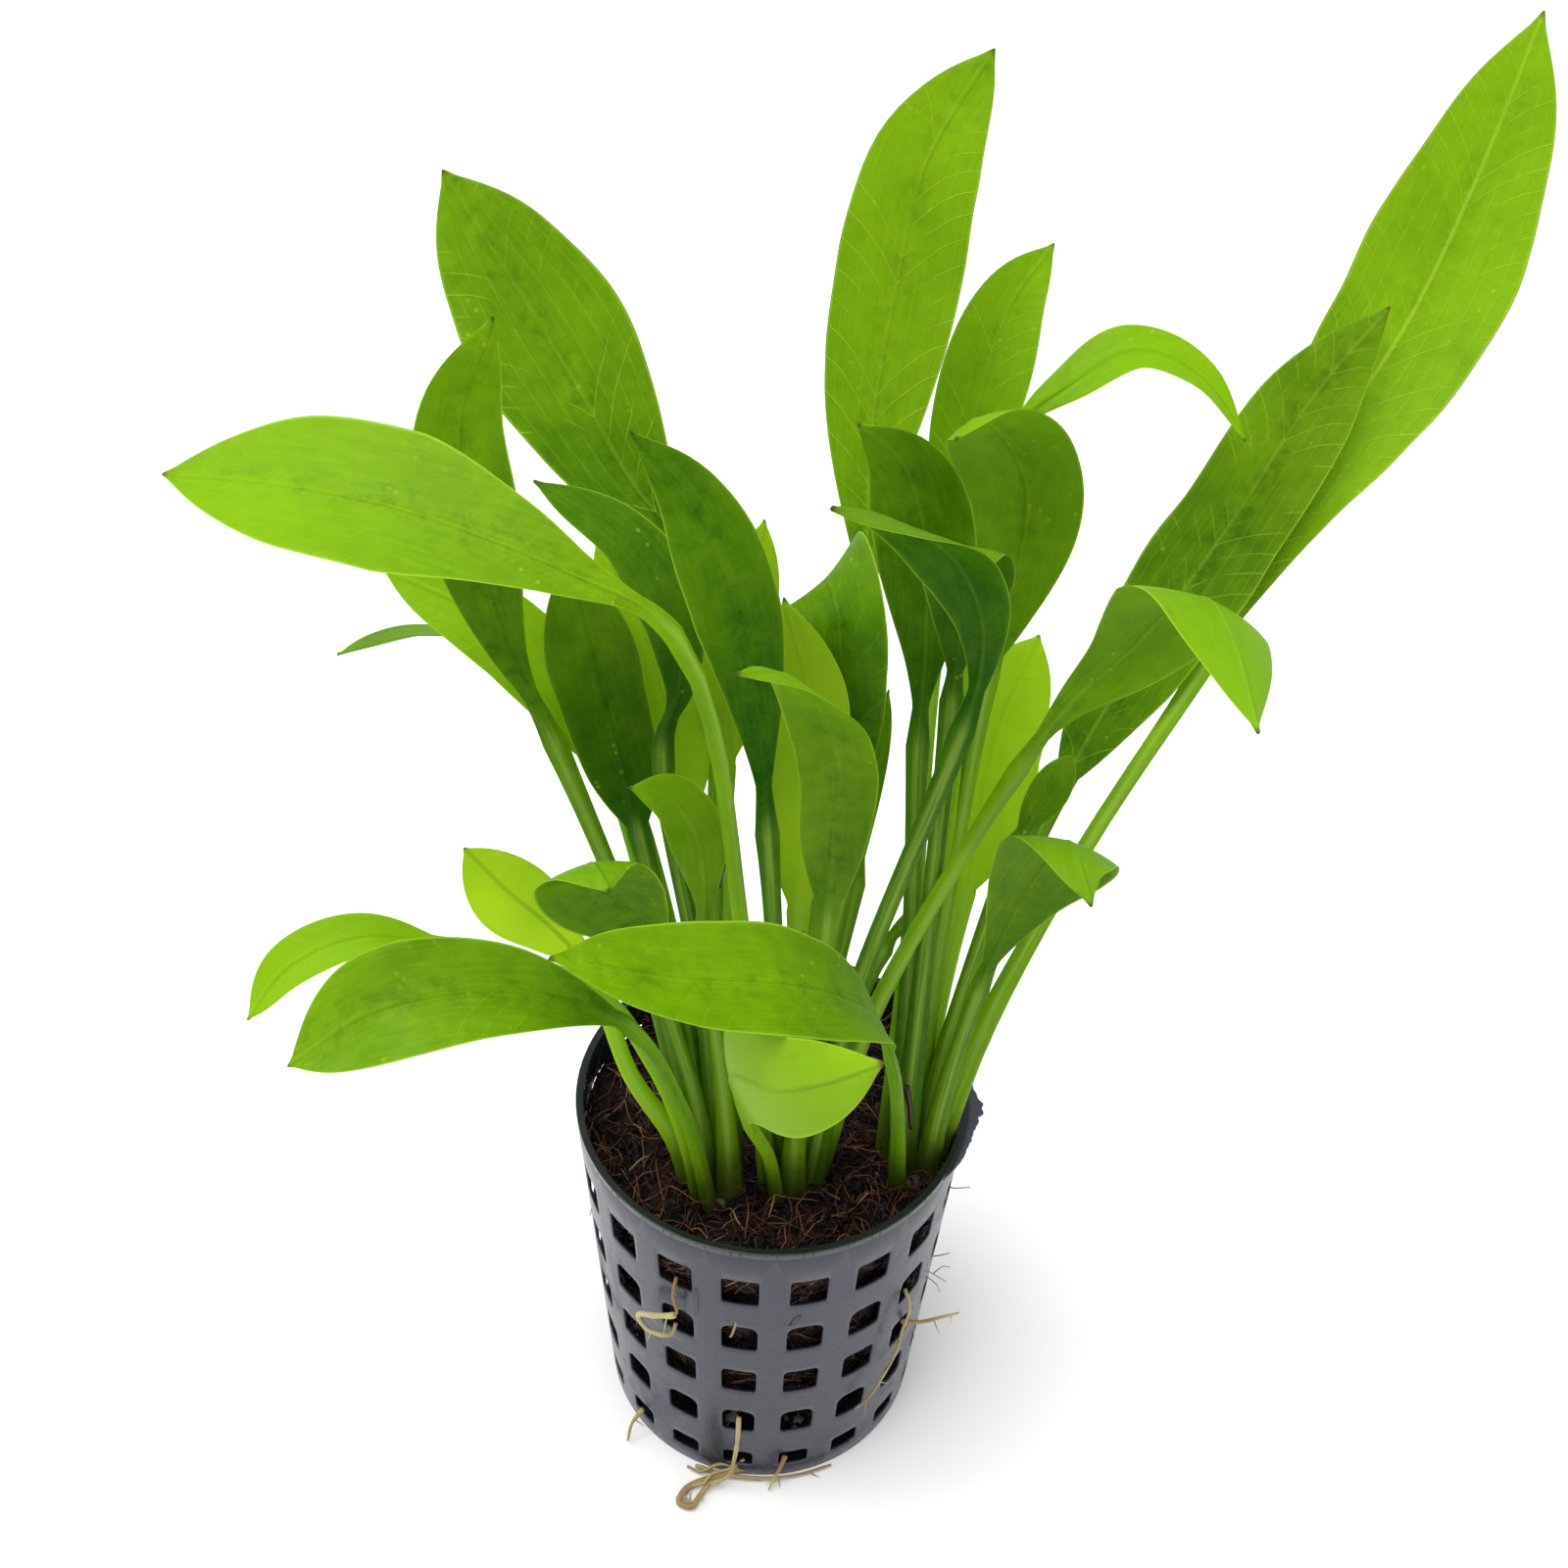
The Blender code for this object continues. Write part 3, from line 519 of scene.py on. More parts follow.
class Finish:
    """A material's Principled shader and the patterns that its colours are mixed by."""

    def __init__(self, name):
        self.material = bpy.data.materials.new(name)
        self.material.use_nodes = True
        self.tree = self.material.node_tree
        self.shader = self.tree.nodes["Principled BSDF"]
        self.add = Sock(self.tree)
        self.place = self.add.of("ShaderNodeTexCoord", output="Object")

    def attribute(self, name, output="Fac"):
        return self.add.of("ShaderNodeAttribute", {"attribute_name": name}, output)

    def parts(self, vector):
        made = self.add.node("ShaderNodeSeparateXYZ", i0=vector)
        return [Sock(self.tree, out) for out in made.outputs]

    def vector(self, x, y, z):
        return self.add.of("ShaderNodeCombineXYZ", i0=x, i1=y, i2=z)

    def noise(self, scale, detail=2.0, where=None, roughness=0.5):
        return self.add.of("ShaderNodeTexNoise", Vector=where or self.place, Scale=scale,
                           Detail=detail, Roughness=roughness)

    def cells(self, scale):
        """The distance to the nearest of many scattered points."""
        return self.add.of("ShaderNodeTexVoronoi", output="Distance", Vector=self.place,
                           Scale=scale)

    def mix(self, factor, first, second):
        """The mix of two colours by a factor."""
        first, second = [value if isinstance(value, Sock) else (*value, 1.0)
                         for value in (first, second)]
        return self.add.of("ShaderNodeMix", {"data_type": "RGBA"}, 2, i0=factor, i6=first,
                           i7=second)

    def set(self, **values):
        for name, value in values.items():
            target = self.shader.inputs[name.replace("_", " ")]
            if isinstance(value, Sock):
                self.tree.links.new(value.socket, target)
            else:
                target.default_value = value

    def bump(self, height, strength, distance):
        normal = self.add.of("ShaderNodeBump", Height=height, Strength=strength, Distance=distance)
        self.set(Normal=normal)


def leaf_finish():
    """Green skin with a midrib, arched and ladder veins, mottling, specks and a brown edge."""
    s = settings("leaf")
    made = Finish("leaf skin")
    across, along, under = made.parts(made.attribute("blade", "Vector"))
    off, run, stem = made.parts(made.attribute("reach", "Vector"))
    shade, gold, mottle = made.parts(made.attribute("look", "Vector"))
    veins, midrib, seed = made.parts(made.attribute("rib", "Vector"))
    side = abs(across)
    aside = abs(off)
    blade = 1 - stem
    broad = made.noise(55.0)
    fine = made.noise(420.0, 3.0)
    grain = made.noise(1.0, 4.0, made.vector(off * 2.2, run * 0.16, seed), roughness=0.7)
    tone = shade + (broad - 0.5) * 0.55 + (fine - 0.5) * 0.30 + (grain - 0.5) * 0.40
    # Painted shade: each blade darkens towards its joint, where the crowd shades it.
    tone = tone + (along - 0.5) * blade * 0.34
    patches = made.noise(520.0, 4.0, roughness=0.7).rise(0.44, 0.66)
    tone = tone - patches * aside.fall(0.2, 3.8) * mottle * blade * 0.32
    # Painted shade and light: low tones mix towards the shade green, high tones towards the light
    # green.
    base = made.mix(tone.rise(-0.1, 1.1), s.dark, s.light)
    base = made.mix(gold * (0.7 + (broad - 0.5) * 1.2) * (0.3 + blade * 0.7), base, s.gold)
    net = leaf_veins(side, aside, run, made.noise(70.0), made.noise(130.0)) * veins * blade
    specks = made.cells(560.0).fall(0.08, 0.18) * made.noise(90.0).rise(0.50, 0.66) * blade
    base = made.mix(net + specks * 0.4, base, s.vein)
    rib = aside.fall(0.05, 0.42) * (1 - along * 0.5) * blade
    base = made.mix(rib * midrib.rise(0.0, 1.0) * 0.6, base, s.vein)
    base = made.mix(rib * (-midrib).rise(0.0, 1.0) * 0.5, base, s.dark)
    base = made.mix(under * blade * 0.42, base, s.pale)
    # Painted highlight: a pale streak down the middle of each petiole, over a faint pale tint of
    # the whole petiole.
    streaks = made.noise(1.0, 2.0, made.vector(off * 3.0, run * 0.05, seed))
    channel_highlight = aside.fall(0.1, 0.8) * (1 - under * 0.35) * streaks.rise(0.25, 0.60)
    base = made.mix(stem * (0.04 + channel_highlight * 0.70), base, s.petiole)
    # Painted highlight: a thin lit rim in the vein colour along each blade's edge.
    base = made.mix(side.rise(0.955, 0.985) * blade * 0.45, base, s.vein)
    base = made.mix(side.rise(0.985, 0.999) * blade * veins.rise(0.3, 0.9) * 0.8, base, s.edge)
    base = made.mix(along.rise(0.985, 1.0) * 0.8, base, s.edge)
    base = made.mix(made.attribute("foot").fall(3.0, 15.0) * 0.80, base, s.sheath)
    made.set(Base_Color=base, Roughness=s.gloss + (fine - 0.5) * 0.25, Specular_IOR_Level=0.11)
    made.bump(made.cells(900.0) * 0.3 + net * 0.8 + rib + streaks * stem * 0.6, 0.5, 0.0004)
    let_light_through(made, made.mix(tone.rise(0.0, 1.0) * 0.24, base, s.passing), 0.42)
    return made.material


def leaf_veins(side, aside, run, wobble, breaks):
    """Arched veins at shares of the blade's width, and the ladder of short veins between them."""
    arches = 0.0
    for where in (0.30, 0.56, 0.80):
        arches = arches + abs(side + (wobble - 0.5) * 0.03 - where).fall(0.0, 0.012)
    rungs = (run - aside * (1.5 - side * 0.5) + wobble * 3.0) / 3.1
    ladder = abs(rungs.math("FRACT") - 0.5).fall(0.0, 0.045)
    return arches * 0.25 + ladder * breaks.rise(0.40, 0.58) * 0.6


def let_light_through(made, tinted, factor):
    """Mix in the light that a thin blade passes from its far side."""
    passing = made.add.of("ShaderNodeBsdfTranslucent", Color=tinted)
    surface = Sock(made.tree, made.shader.outputs[0])
    mixed = made.add.of("ShaderNodeMixShader", i0=factor, i1=surface, i2=passing)
    made.tree.links.new(mixed.socket, made.tree.nodes["Material Output"].inputs["Surface"])


def pot_finish():
    """Satin plastic with dried water marks, fine scuffs and painted vertical sheen, with painted
    shade inside, painted dark reflection on the rim and painted light on the flash.
    """
    s = settings("pot")
    made = Finish("pot plastic")
    x, y, z = made.parts(made.place)
    marks = made.noise(90.0, 4.0, roughness=0.6).rise(0.52, 0.70)
    # Painted sheen: these vertical streaks lighten the colour into a satin sheen, and also vary
    # the roughness.
    runs = made.noise(1.0, 3.0, made.vector(x * 420.0, y * 420.0, z * 30.0)).rise(0.55, 0.75)
    scuffs = made.noise(700.0, 3.0)
    base = made.mix(marks * 0.22 + runs * 0.20, s.plastic, s.haze)
    radius = (x * x + y * y).math("SQRT")
    outside = s.foot_radius + z * ((POT_TOP_RADIUS - s.foot_radius) / POT_HEIGHT)
    # Painted shade: the inside of the wall takes the dark rim colour.
    inside_shade = (outside - radius).rise(s.wall * 0.6, s.wall * 0.9)
    # Painted reflection: the rim band takes the dark green-black of the leaves mirrored in it.
    band = z.rise(POT_HEIGHT - RIM_BAND - 0.1 * MM, POT_HEIGHT - RIM_BAND + 0.1 * MM)
    band = band * radius.fall(POT_TOP_RADIUS, POT_TOP_RADIUS + 0.2 * MM)
    # Painted light: the flash beyond the rim is lightened, against the shade of the leaves over
    # it.
    flash = radius.rise(POT_TOP_RADIUS + 0.2 * MM, POT_TOP_RADIUS + 0.6 * MM)
    base = made.mix(inside_shade * 0.93, base, s.rim)
    base = made.mix(band, base, s.rim)
    base = made.mix(flash * 0.6, base, s.haze)
    made.set(Base_Color=base, Roughness=0.26 + marks * 0.18 + runs * 0.12 + (scuffs - 0.5) * 0.14,
             Specular_IOR_Level=0.42)
    made.bump(scuffs * 0.5 + made.noise(60.0) * 1.5, 0.25, 0.0002)
    return made.material


def earth_finish():
    """Dark wet crumbs of coir with damp, shining spots and painted glints."""
    s = settings("coir")
    made = Finish("coir earth")
    lumps = made.noise(500.0, 4.0, roughness=0.7)
    wet = made.noise(160.0).rise(0.50, 0.66)
    base = made.mix(lumps.rise(0.50, 0.72) * 0.30, s.earth, s.brown)
    grains = made.cells(1400.0).fall(0.08, 0.2) * lumps.rise(0.55, 0.7)
    base = made.mix(grains * 0.5, base, s.straw)
    # Painted glints: pale specks on the wet grains.
    base = made.mix(made.cells(950.0).fall(0.06, 0.14) * wet * 0.8, base, s.glint)
    made.set(Base_Color=base, Roughness=0.75 - wet * 0.55, Specular_IOR_Level=0.22)
    made.bump(lumps + made.cells(1500.0) * 0.6, 0.9, 0.0006)
    return made.material


def fibre_finish():
    """Coir fibre, from near black through red-brown to straw, each fibre in its own shade."""
    s = settings("coir")
    made = Finish("coir fibre")
    tint = made.attribute("tint")
    grain = made.noise(900.0)
    base = made.mix(tint.rise(0.30, 0.75), s.earth, s.brown)
    base = made.mix(tint.rise(0.80, 1.0) * 0.9, base, s.straw)
    base = made.mix(grain * 0.3, base, s.earth)
    made.set(Base_Color=base, Roughness=0.30 + grain * 0.25, Specular_IOR_Level=0.35)
    made.bump(grain, 0.3, 0.0001)
    return made.material


def root_finish():
    """Cream root skin that browns in patches, with fine rings."""
    s = settings("root")
    made = Finish("root skin")
    age = made.noise(110.0, 3.0)
    rings = made.noise(1500.0)
    base = made.mix(age.rise(0.40, 0.68), s.cream, s.tan)
    base = made.mix(made.attribute("brown") * 0.8, base, s.tan)
    made.set(Base_Color=base, Roughness=0.45 + rings * 0.25)
    made.bump(rings + age, 0.3, 0.00015)
    return made.material


def crown_finish():
    """The crown's fibrous brown skin, olive and dark in turns between old leaf bases."""
    s = settings("root")
    made = Finish("crown skin")
    x, y, z = made.parts(made.place)
    strands = made.noise(1.0, 3.0, made.vector(x * 900.0, y * 900.0, z * 140.0))
    base = made.mix(strands.rise(0.40, 0.65), s.crown, settings("leaf").sheath)
    base = made.mix(made.noise(300.0).rise(0.50, 0.70) * 0.8, base, settings("coir").earth)
    made.set(Base_Color=base, Roughness=0.50 + strands * 0.2)
    made.bump(strands, 0.6, 0.0003)
    return made.material


# Curves and frames that leaves and roots follow

def blend(first, second, start, end, t):
    """The place at t on the line from the first point at the start to the second at the end."""
    return first * ((end - t) / (end - start)) + second * ((t - start) / (end - start))


def spline(points, per_span=SPLINE_STEPS):
    """A centripetal curve through the points, as a dense list of positions."""
    padded = [2 * points[0] - points[1], *points, 2 * points[-1] - points[-2]]
    dense = []
    for p0, p1, p2, p3 in zip(padded, padded[1:], padded[2:], padded[3:]):
        t0 = 0.0
        t1 = t0 + math.sqrt((p1 - p0).length)
        t2 = t1 + math.sqrt((p2 - p1).length)
        t3 = t2 + math.sqrt((p3 - p2).length)
        for step in range(per_span):
            t = t1 + (t2 - t1) * step / per_span
            a1 = blend(p0, p1, t0, t1, t)
            a2 = blend(p1, p2, t1, t2, t)
            a3 = blend(p2, p3, t2, t3, t)
            dense.append(blend(blend(a1, a2, t0, t2, t), blend(a2, a3, t1, t3, t), t1, t2, t))
    dense.append(points[-1].copy())
    return dense


def lengths_along(points):
    lengths = [0.0]
    for first, second in zip(points, points[1:]):
        lengths.append(lengths[-1] + (second - first).length)
    return lengths


def value_at(values, lengths, where):
    """Linear look-up of a list of vectors by arc length."""
    for index in range(len(lengths) - 1):
        if where <= lengths[index + 1]:
            span = lengths[index + 1] - lengths[index]
            share = (where - lengths[index]) / span if span else 0.0
            return values[index].lerp(values[index + 1], share)
    return values[-1].copy()


def carried_frames(points, start, face):
    """Directions along and up at each point, carried with no twist from the start point."""
    count = len(points)
    along = []
    for index in range(count):
        ahead = points[min(index + 1, count - 1)]
        behind = points[max(index - 1, 0)]
        along.append((ahead - behind).normalized())
    ups = [None] * count
    up = Vector(face)
    ups[start] = (up - along[start] * up.dot(along[start])).normalized()
    for index in range(start + 1, count):
        ups[index] = along[index - 1].rotation_difference(along[index]) @ ups[index - 1]
    for index in range(start - 1, -1, -1):
        ups[index] = along[index + 1].rotation_difference(along[index]) @ ups[index + 1]
    return along, ups


def twist_at(twists, marks, where):
    """The leaf's twist in radians at a length along it."""
    if not twists or where <= marks[0]:
        return 0.0
    for first, second, start, end in zip(twists, twists[1:], marks, marks[1:]):
        if where <= end:
            return math.radians(first + (second - first) * (where - start) / (end - start))
    return math.radians(twists[-1])


# Leaves

PETIOLE_ROWS = 16
BLADE_ROWS = 44
HALF_COLUMNS = 8
COLUMN_CROWDING = 1.35           # above 1, a blade's rows of points crowd to its midrib
FOOT_DEPTH = 4.0 * MM            # how deep a petiole starts in its crown
FOOT_FLATTENING = 0.45
TIP_HALF_WIDTH = 0.12 * MM
TIP_PINCH = 0.5
TIP_REACH = 0.035
TIP_GAP = 0.25 * MM              # how far a blade stops short of the end of its route
PETIOLE_TAPER = 2.5
RIB_TAPER = 1.4
RIB_THINNING = 0.45              # how much the rib thins over the first of the blade
RIB_REACH = 0.3
RIB_BELOW = 0.8                  # how far the rib stands out beneath, and its crest above
CREST = 0.5
WING_START, WING_END = 7, 4      # powers that wings grow by on the petiole and end by on the blade
KEEL_REACH = 0.25
KEEL_CURVE = 1.6
WIDTH_WAVES = 100.0              # waves in a blade's width, its least share and their size
WIDTH_LEAST, WIDTH_SPREAD = 0.975, 0.07
RIPPLE_WAVES = 110.0             # waves in its edge, and the smaller ones by its midrib
SAG_WAVES, SAG_SHARE = 150.0, 0.35
RIPPLE_REACH = 0.2
STEM_REACH = 0.08                # share of the blade over which the petiole's colour fades
LEAF_CREASE = math.radians(75)

# Where each crown's petioles gather in the coir, in millimetres, and how close to that middle
CLUMPS = {"left": (-6.8, -10.8), "middle": (2.4, -9.8), "right": (17.9, -7.6)}
CLUMP_CLOSENESS = 0.55

def leaf_route(leaf):
    """The leaf's middle line: its base in the crown, the petiole's bend, the listed points."""
    x, y = CLUMPS[leaf.crown]
    turn = math.radians(leaf.angle)
    out = leaf.ring * CLUMP_CLOSENESS
    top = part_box("crown_" + leaf.crown)[1][2]
    base = Vector((x * MM + out * math.cos(turn), y * MM + out * math.sin(turn), top - FOOT_DEPTH))
    listed = [Vector(point) * MM for point in leaf.path]
    reach = listed[0] - base
    aside = reach * PETIOLE_BEND_OUT
    bend = base + Vector((aside.x, aside.y, reach.z * PETIOLE_BEND_UP))
    return [base, bend, *listed]


def blade_outline(share, s, leaf):
    """Half width of a blade along its length, as a share of its greatest half width."""
    if not 0.0 < share < 1.0:
        return 0.0
    pinch = 1 - TIP_PINCH * math.exp((share - 1) / TIP_REACH)
    widest, tip_taper = leaf.tip or (s.widest, s.tip_taper)
    taper = getattr(s, leaf.base) if share < widest else s.base_taper
    return pinch * (share / widest) ** taper * ((1 - share) / (1 - widest)) ** tip_taper


def leaf_section(s, leaf, down, share, middle):
    """Half width, rib, keel, crest and flattening of a leaf's section at one station."""
    stem = s.petiole_top + (s.petiole_foot - s.petiole_top) * (1 - down) ** PETIOLE_TAPER
    thinning = 1 - RIB_THINNING * min(1.0, share / RIB_REACH)
    rib = max(stem * (1 - share) ** RIB_TAPER * thinning, TIP_HALF_WIDTH)
    uneven = WIDTH_LEAST + WIDTH_SPREAD * noise.noise(middle * WIDTH_WAVES)
    wing = s.wing * down ** WING_START * (1 - share) ** WING_END
    greatest = leaf.half_width * MM * leaf.width
    half = max(greatest * blade_outline(share, s, leaf) * uneven, rib) + wing
    keel = s.keel * half * min(1.0, share / KEEL_REACH)
    flat = 1 - FOOT_FLATTENING * (1 - down) ** 2
    crest = rib * CREST * flat * max(0.0, 1 - share / RIB_REACH)
    return half, rib, keel, crest, flat


def build_leaf(leaf, finish):
    """Loft a petiole into a thin blade with a rib beneath and a rippled edge."""
    s = settings("leaf")
    look = leaf.look
    route = leaf_route(leaf)
    joint_index = 2 + leaf.stem
    dense = spline(route)
    lengths = lengths_along(dense)
    along, ups = carried_frames(dense, (joint_index + leaf.seen) * SPLINE_STEPS, leaf.face)
    marks = [lengths[SPLINE_STEPS * index] for index in range(joint_index, len(route))]
    joint, total = marks[0], marks[-1] - TIP_GAP
    stations = [joint * row / PETIOLE_ROWS for row in range(PETIOLE_ROWS)]
    stations += [joint + (total - joint) * row / BLADE_ROWS for row in range(BLADE_ROWS + 1)]
    columns = [math.copysign(abs(k / HALF_COLUMNS) ** COLUMN_CROWDING, k)
               for k in range(-HALF_COLUMNS, HALF_COLUMNS + 1)]
    ring = [(u, 0.0) for u in columns] + [(u, 1.0) for u in reversed(columns[1:-1])]
    seed = float(LEAVES.index(leaf))
    points, blade, reach, foot = [], [], [], []
    for where in stations:
        middle = value_at(dense, lengths, where)
        forward = value_at(along, lengths, where).normalized()
        up = value_at(ups, lengths, where)
        up = (up - forward * up.dot(forward)).normalized()
        up.rotate(Quaternion(forward, twist_at(leaf.twists, marks, where)))
        across = forward.cross(up)
        share = min(max(0.0, (where - joint) / (total - joint)), 1.0)
        down = min(where / joint, 1.0)
        half, rib, keel, crest, flat = leaf_section(s, leaf, down, share, middle)
        for u, under in ring:
            x = half * u
            round_rib = rib * math.sqrt(max(0.0, 1 - (x / rib) ** 2))
            skin = s.blade / 2 * math.sqrt(max(0.0, 1 - u * u))
            height = keel * abs(u) ** KEEL_CURVE
            if under:
                height -= skin + round_rib * RIB_BELOW * flat
            else:
                height += skin + round_rib / rib * crest
            at = middle + across * x + up * height
            wave = noise.noise(at * RIPPLE_WAVES + Vector((seed, 0.0, 0.0))) * look.ripple * MM
            sag = noise.noise(at * SAG_WAVES + Vector((0.0, seed, 0.0))) * look.ripple
            sag *= SAG_SHARE * MM
            at += up * ((wave * u * u + sag * (1 - u * u)) * min(1.0, share / RIPPLE_REACH))
            points.append(at)
            blade.append((u, share, 0.5 if abs(u) == 1.0 else under))
            reach.append((x / MM, (where - joint) / MM, 1.0 - min(1.0, share / STEM_REACH)))
            foot.append(where / MM)
    mesh = loft(leaf.name, points, len(ring))
    store(mesh, "blade", blade)
    store(mesh, "reach", reach)
    store(mesh, "foot", foot)
    store(mesh, "look", [(look.shade, look.gold, look.mottle)] * len(points))
    store(mesh, "rib", [(look.veins, look.midrib, seed)] * len(points))
    mesh.shade_smooth()
    mesh.set_sharp_from_angle(angle=LEAF_CREASE)
    return add_object("grown_leaf_" + leaf.name, mesh, finish)


# Geometry Nodes

class Grown:
    """A Geometry Nodes tree with named inputs, whose steps are added one after another."""

    def __init__(self, name, **inputs):
        self.tree = bpy.data.node_groups.new(name, "GeometryNodeTree")
        face = self.tree.interface
        face.new_socket("Geometry", in_out="OUTPUT", socket_type="NodeSocketGeometry")
        face.new_socket("Geometry", in_out="INPUT", socket_type="NodeSocketGeometry")
        for key, kind in inputs.items():
            face.new_socket(key, in_out="INPUT", socket_type="NodeSocket" + kind)
        self.add = Sock(self.tree)
        start = self.add.node("NodeGroupInput")
        self.given = {out.name: Sock(self.tree, out) for out in start.outputs if out.name}

    def end(self, geometry):
        """Realize the instances, put on the material and leave the tree."""
        whole = self.add.of("GeometryNodeRealizeInstances", i0=geometry)
        dressed = self.add.of("GeometryNodeSetMaterial", Geometry=whole,
                              Material=self.given["Material"])
        self.add.node("NodeGroupOutput", i0=dressed)

    def on(self, piece, **values):
        """Add the tree to a piece and set its inputs by their identifiers."""
        modifier = piece.modifiers.new(self.tree.name, "NODES")
        modifier.node_group = self.tree
        for item in self.tree.interface.items_tree:
            if item.in_out == "INPUT" and item.name in values:
                modifier[item.identifier] = values[item.name]


def ring_of_wedges():
    """Repeat a wedge round the pot's axis and join the copies."""
    grown = Grown("ring of wedges", Count="Int", Turn="Float", Material="Material")
    add = grown.add
    points = add.of("GeometryNodePoints", i0=grown.given["Count"])
    index = add.of("GeometryNodeInputIndex")
    angle = index / grown.given["Count"] * math.tau + grown.given["Turn"]
    turned = add.of("ShaderNodeCombineXYZ", i2=angle)
    copies = add.of("GeometryNodeInstanceOnPoints", Points=points,
                    Instance=grown.given["Geometry"], Rotation=turned)
    joined = add.of("GeometryNodeRealizeInstances", i0=copies)
    joined = add.of("GeometryNodeMergeByDistance", Geometry=joined, Distance=0.02 * MM)
    grown.end(joined)
    return grown


def scattered_bits():
    """Scatter bits over a surface, each turned and sized by chance and in its own tint."""
    grown = Grown("scattered bits", Bits="Collection", Count="Int", Smallest="Float",
                  Largest="Float", Lift="Float", Lean="Float", Rise="Float", Seed="Int",
                  Material="Material")
    add = grown.add
    given = grown.given
    spread = add.node("GeometryNodeDistributePointsOnFaces", {"distribute_method": "RANDOM"},
                      Mesh=given["Geometry"], Density=given["Count"], Seed=given["Seed"])
    points = Sock(add.tree, spread.outputs["Points"])
    facing = Sock(add.tree, spread.outputs["Rotation"])
    bits = add.of("GeometryNodeCollectionInfo", Collection=given["Bits"], Separate_Children=True,
                  Reset_Children=True)
    size = add.of("FunctionNodeRandomValue", {"data_type": "FLOAT"}, 1, i2=given["Smallest"],
                  i3=given["Largest"], Seed=given["Seed"])
    sizes = add.of("ShaderNodeCombineXYZ", i0=size, i1=size, i2=size * given["Rise"])
    least = add.of("ShaderNodeCombineXYZ", i0=-given["Lean"], i1=-given["Lean"])
    most = add.of("ShaderNodeCombineXYZ", i0=given["Lean"], i1=given["Lean"], i2=math.tau)
    lean = add.of("FunctionNodeRandomValue", {"data_type": "FLOAT_VECTOR"}, 0, i0=least, i1=most,
                  Seed=given["Seed"] + 7)
    leaning = add.of("FunctionNodeEulerToRotation", i0=lean)
    turned = add.of("FunctionNodeRotateRotation", {"rotation_space": "LOCAL"}, i0=facing,
                    i1=leaning)
    copies = add.of("GeometryNodeInstanceOnPoints", Points=points, Instance=bits,
                    Pick_Instance=True, Rotation=turned, Scale=sizes)
    lifted = add.of("GeometryNodeTranslateInstances", Instances=copies,
                    Translation=add.of("ShaderNodeCombineXYZ", i2=given["Lift"]), Local_Space=True)
    tint = add.of("FunctionNodeRandomValue", {"data_type": "FLOAT"}, 1, i2=0.0, i3=1.0,
                  Seed=given["Seed"] + 3)
    choices = {"data_type": "FLOAT", "domain": "INSTANCE"}
    tinted = add.of("GeometryNodeStoreNamedAttribute", choices, Geometry=lifted, Name="tint",
                    Value=tint)
    grown.end(tinted)
    return grown


# Pot

# Rows of holes from the top, in millimetres: height of the middle, width, height, and how round
# the upper and the lower corners are
HOLE_ROWS = ((49.1, 4.9, 5.6, 0.3, 0.3), (37.9, 4.8, 5.8, 1.5, 0.4), (26.7, 4.7, 5.5, 0.8, 0.5),
             (15.6, 4.5, 5.6, 1.5, 0.5), (4.8, 4.2, 3.6, 0.8, 0.5))
CELL_SIDE = 8                    # points along each side of a hole
FLOOR_SLOT = (8.0, 18.0, 4.5)    # a floor slot's near end, far end and width in millimetres
SLOT_ROUND = 1.0
MOULDED_CREASE = math.radians(50)
JOINED_CREASE = math.radians(35)
RIM_BAND = 1.0 * MM
RIM_WALL = 1.0 * MM
RIM_FOOT = 1.6 * RIM_BAND        # how far down the band runs out into the wall, and its two tucks
RIM_TUCKS = (0.05 * MM, 0.3 * MM)
RIM_STEPS = 108
# The torn flash's edge: angles in degrees, and how far it stands out from the rim in millimetres
FLASH = ((-32.0, 0.0), (-27.0, 0.5), (-22.0, 0.9), (-15.0, 1.1), (-8.0, 1.7), (-4.0, 2.3),
         (0.0, 1.5), (4.0, 1.1), (8.0, 1.6), (11.0, 1.7), (15.0, 0.8), (19.0, 0.0))
FLASH_STEPS = 90
FLASH_ROOT = -0.5                # where it starts inside the rim, in millimetres
FLASH_DROPS = (0.25, 0.35, 0.70, 0.95)
FLASH_UNEVEN = 0.25


def pot_radius(height):
    """Outer radius of the pot's wall at a height."""
    s = settings("pot")
    return s.foot_radius + (POT_TOP_RADIUS - s.foot_radius) * height / POT_HEIGHT


def square_loop(left, right, low, high):
    """Points round a rectangle, the same number on each side."""
    corners = ((left, low), (right, low), (right, high), (left, high))
    sides = zip(corners, corners[1:] + corners[:1])
    return [(x + (x2 - x) * k / CELL_SIDE, y + (y2 - y) * k / CELL_SIDE)
            for (x, y), (x2, y2) in sides for k in range(CELL_SIDE)]


def hole_loop(centre, width, height, top_round, foot_round):
    """Points round a hole whose upper and lower corners have their own radius."""
    loop = []
    for x, y in square_loop(-width / 2, width / 2, -height / 2, height / 2):
        radius = top_round if y > 0 else foot_round
        inner = Vector((math.copysign(width / 2 - radius, x),
                        math.copysign(height / 2 - radius, y)))
        off = Vector((x, y)) - inner
        if off.x * x > 0 and off.y * y > 0:
            off = off.normalized() * radius
            x, y = inner + off
        loop.append((x, y + centre))
    return loop


def pierced_cells(cells, place):
    """Mesh the space between each cell's edge and its hole, laid out by the place function."""
    bm = bmesh.new()
    for outside, hole in cells:
        between = [((a[0] + b[0] * 2) / 3, (a[1] + b[1] * 2) / 3)
                   for a, b in zip(outside, hole)]
        rings = [[bm.verts.new(place(*point)) for point in loop]
                 for loop in (outside, between, hole)]
        for outer, inner in zip(rings, rings[1:]):
            bridge(bm, outer, inner)
    bmesh.ops.remove_doubles(bm, verts=bm.verts, dist=0.01 * MM)
    return bm


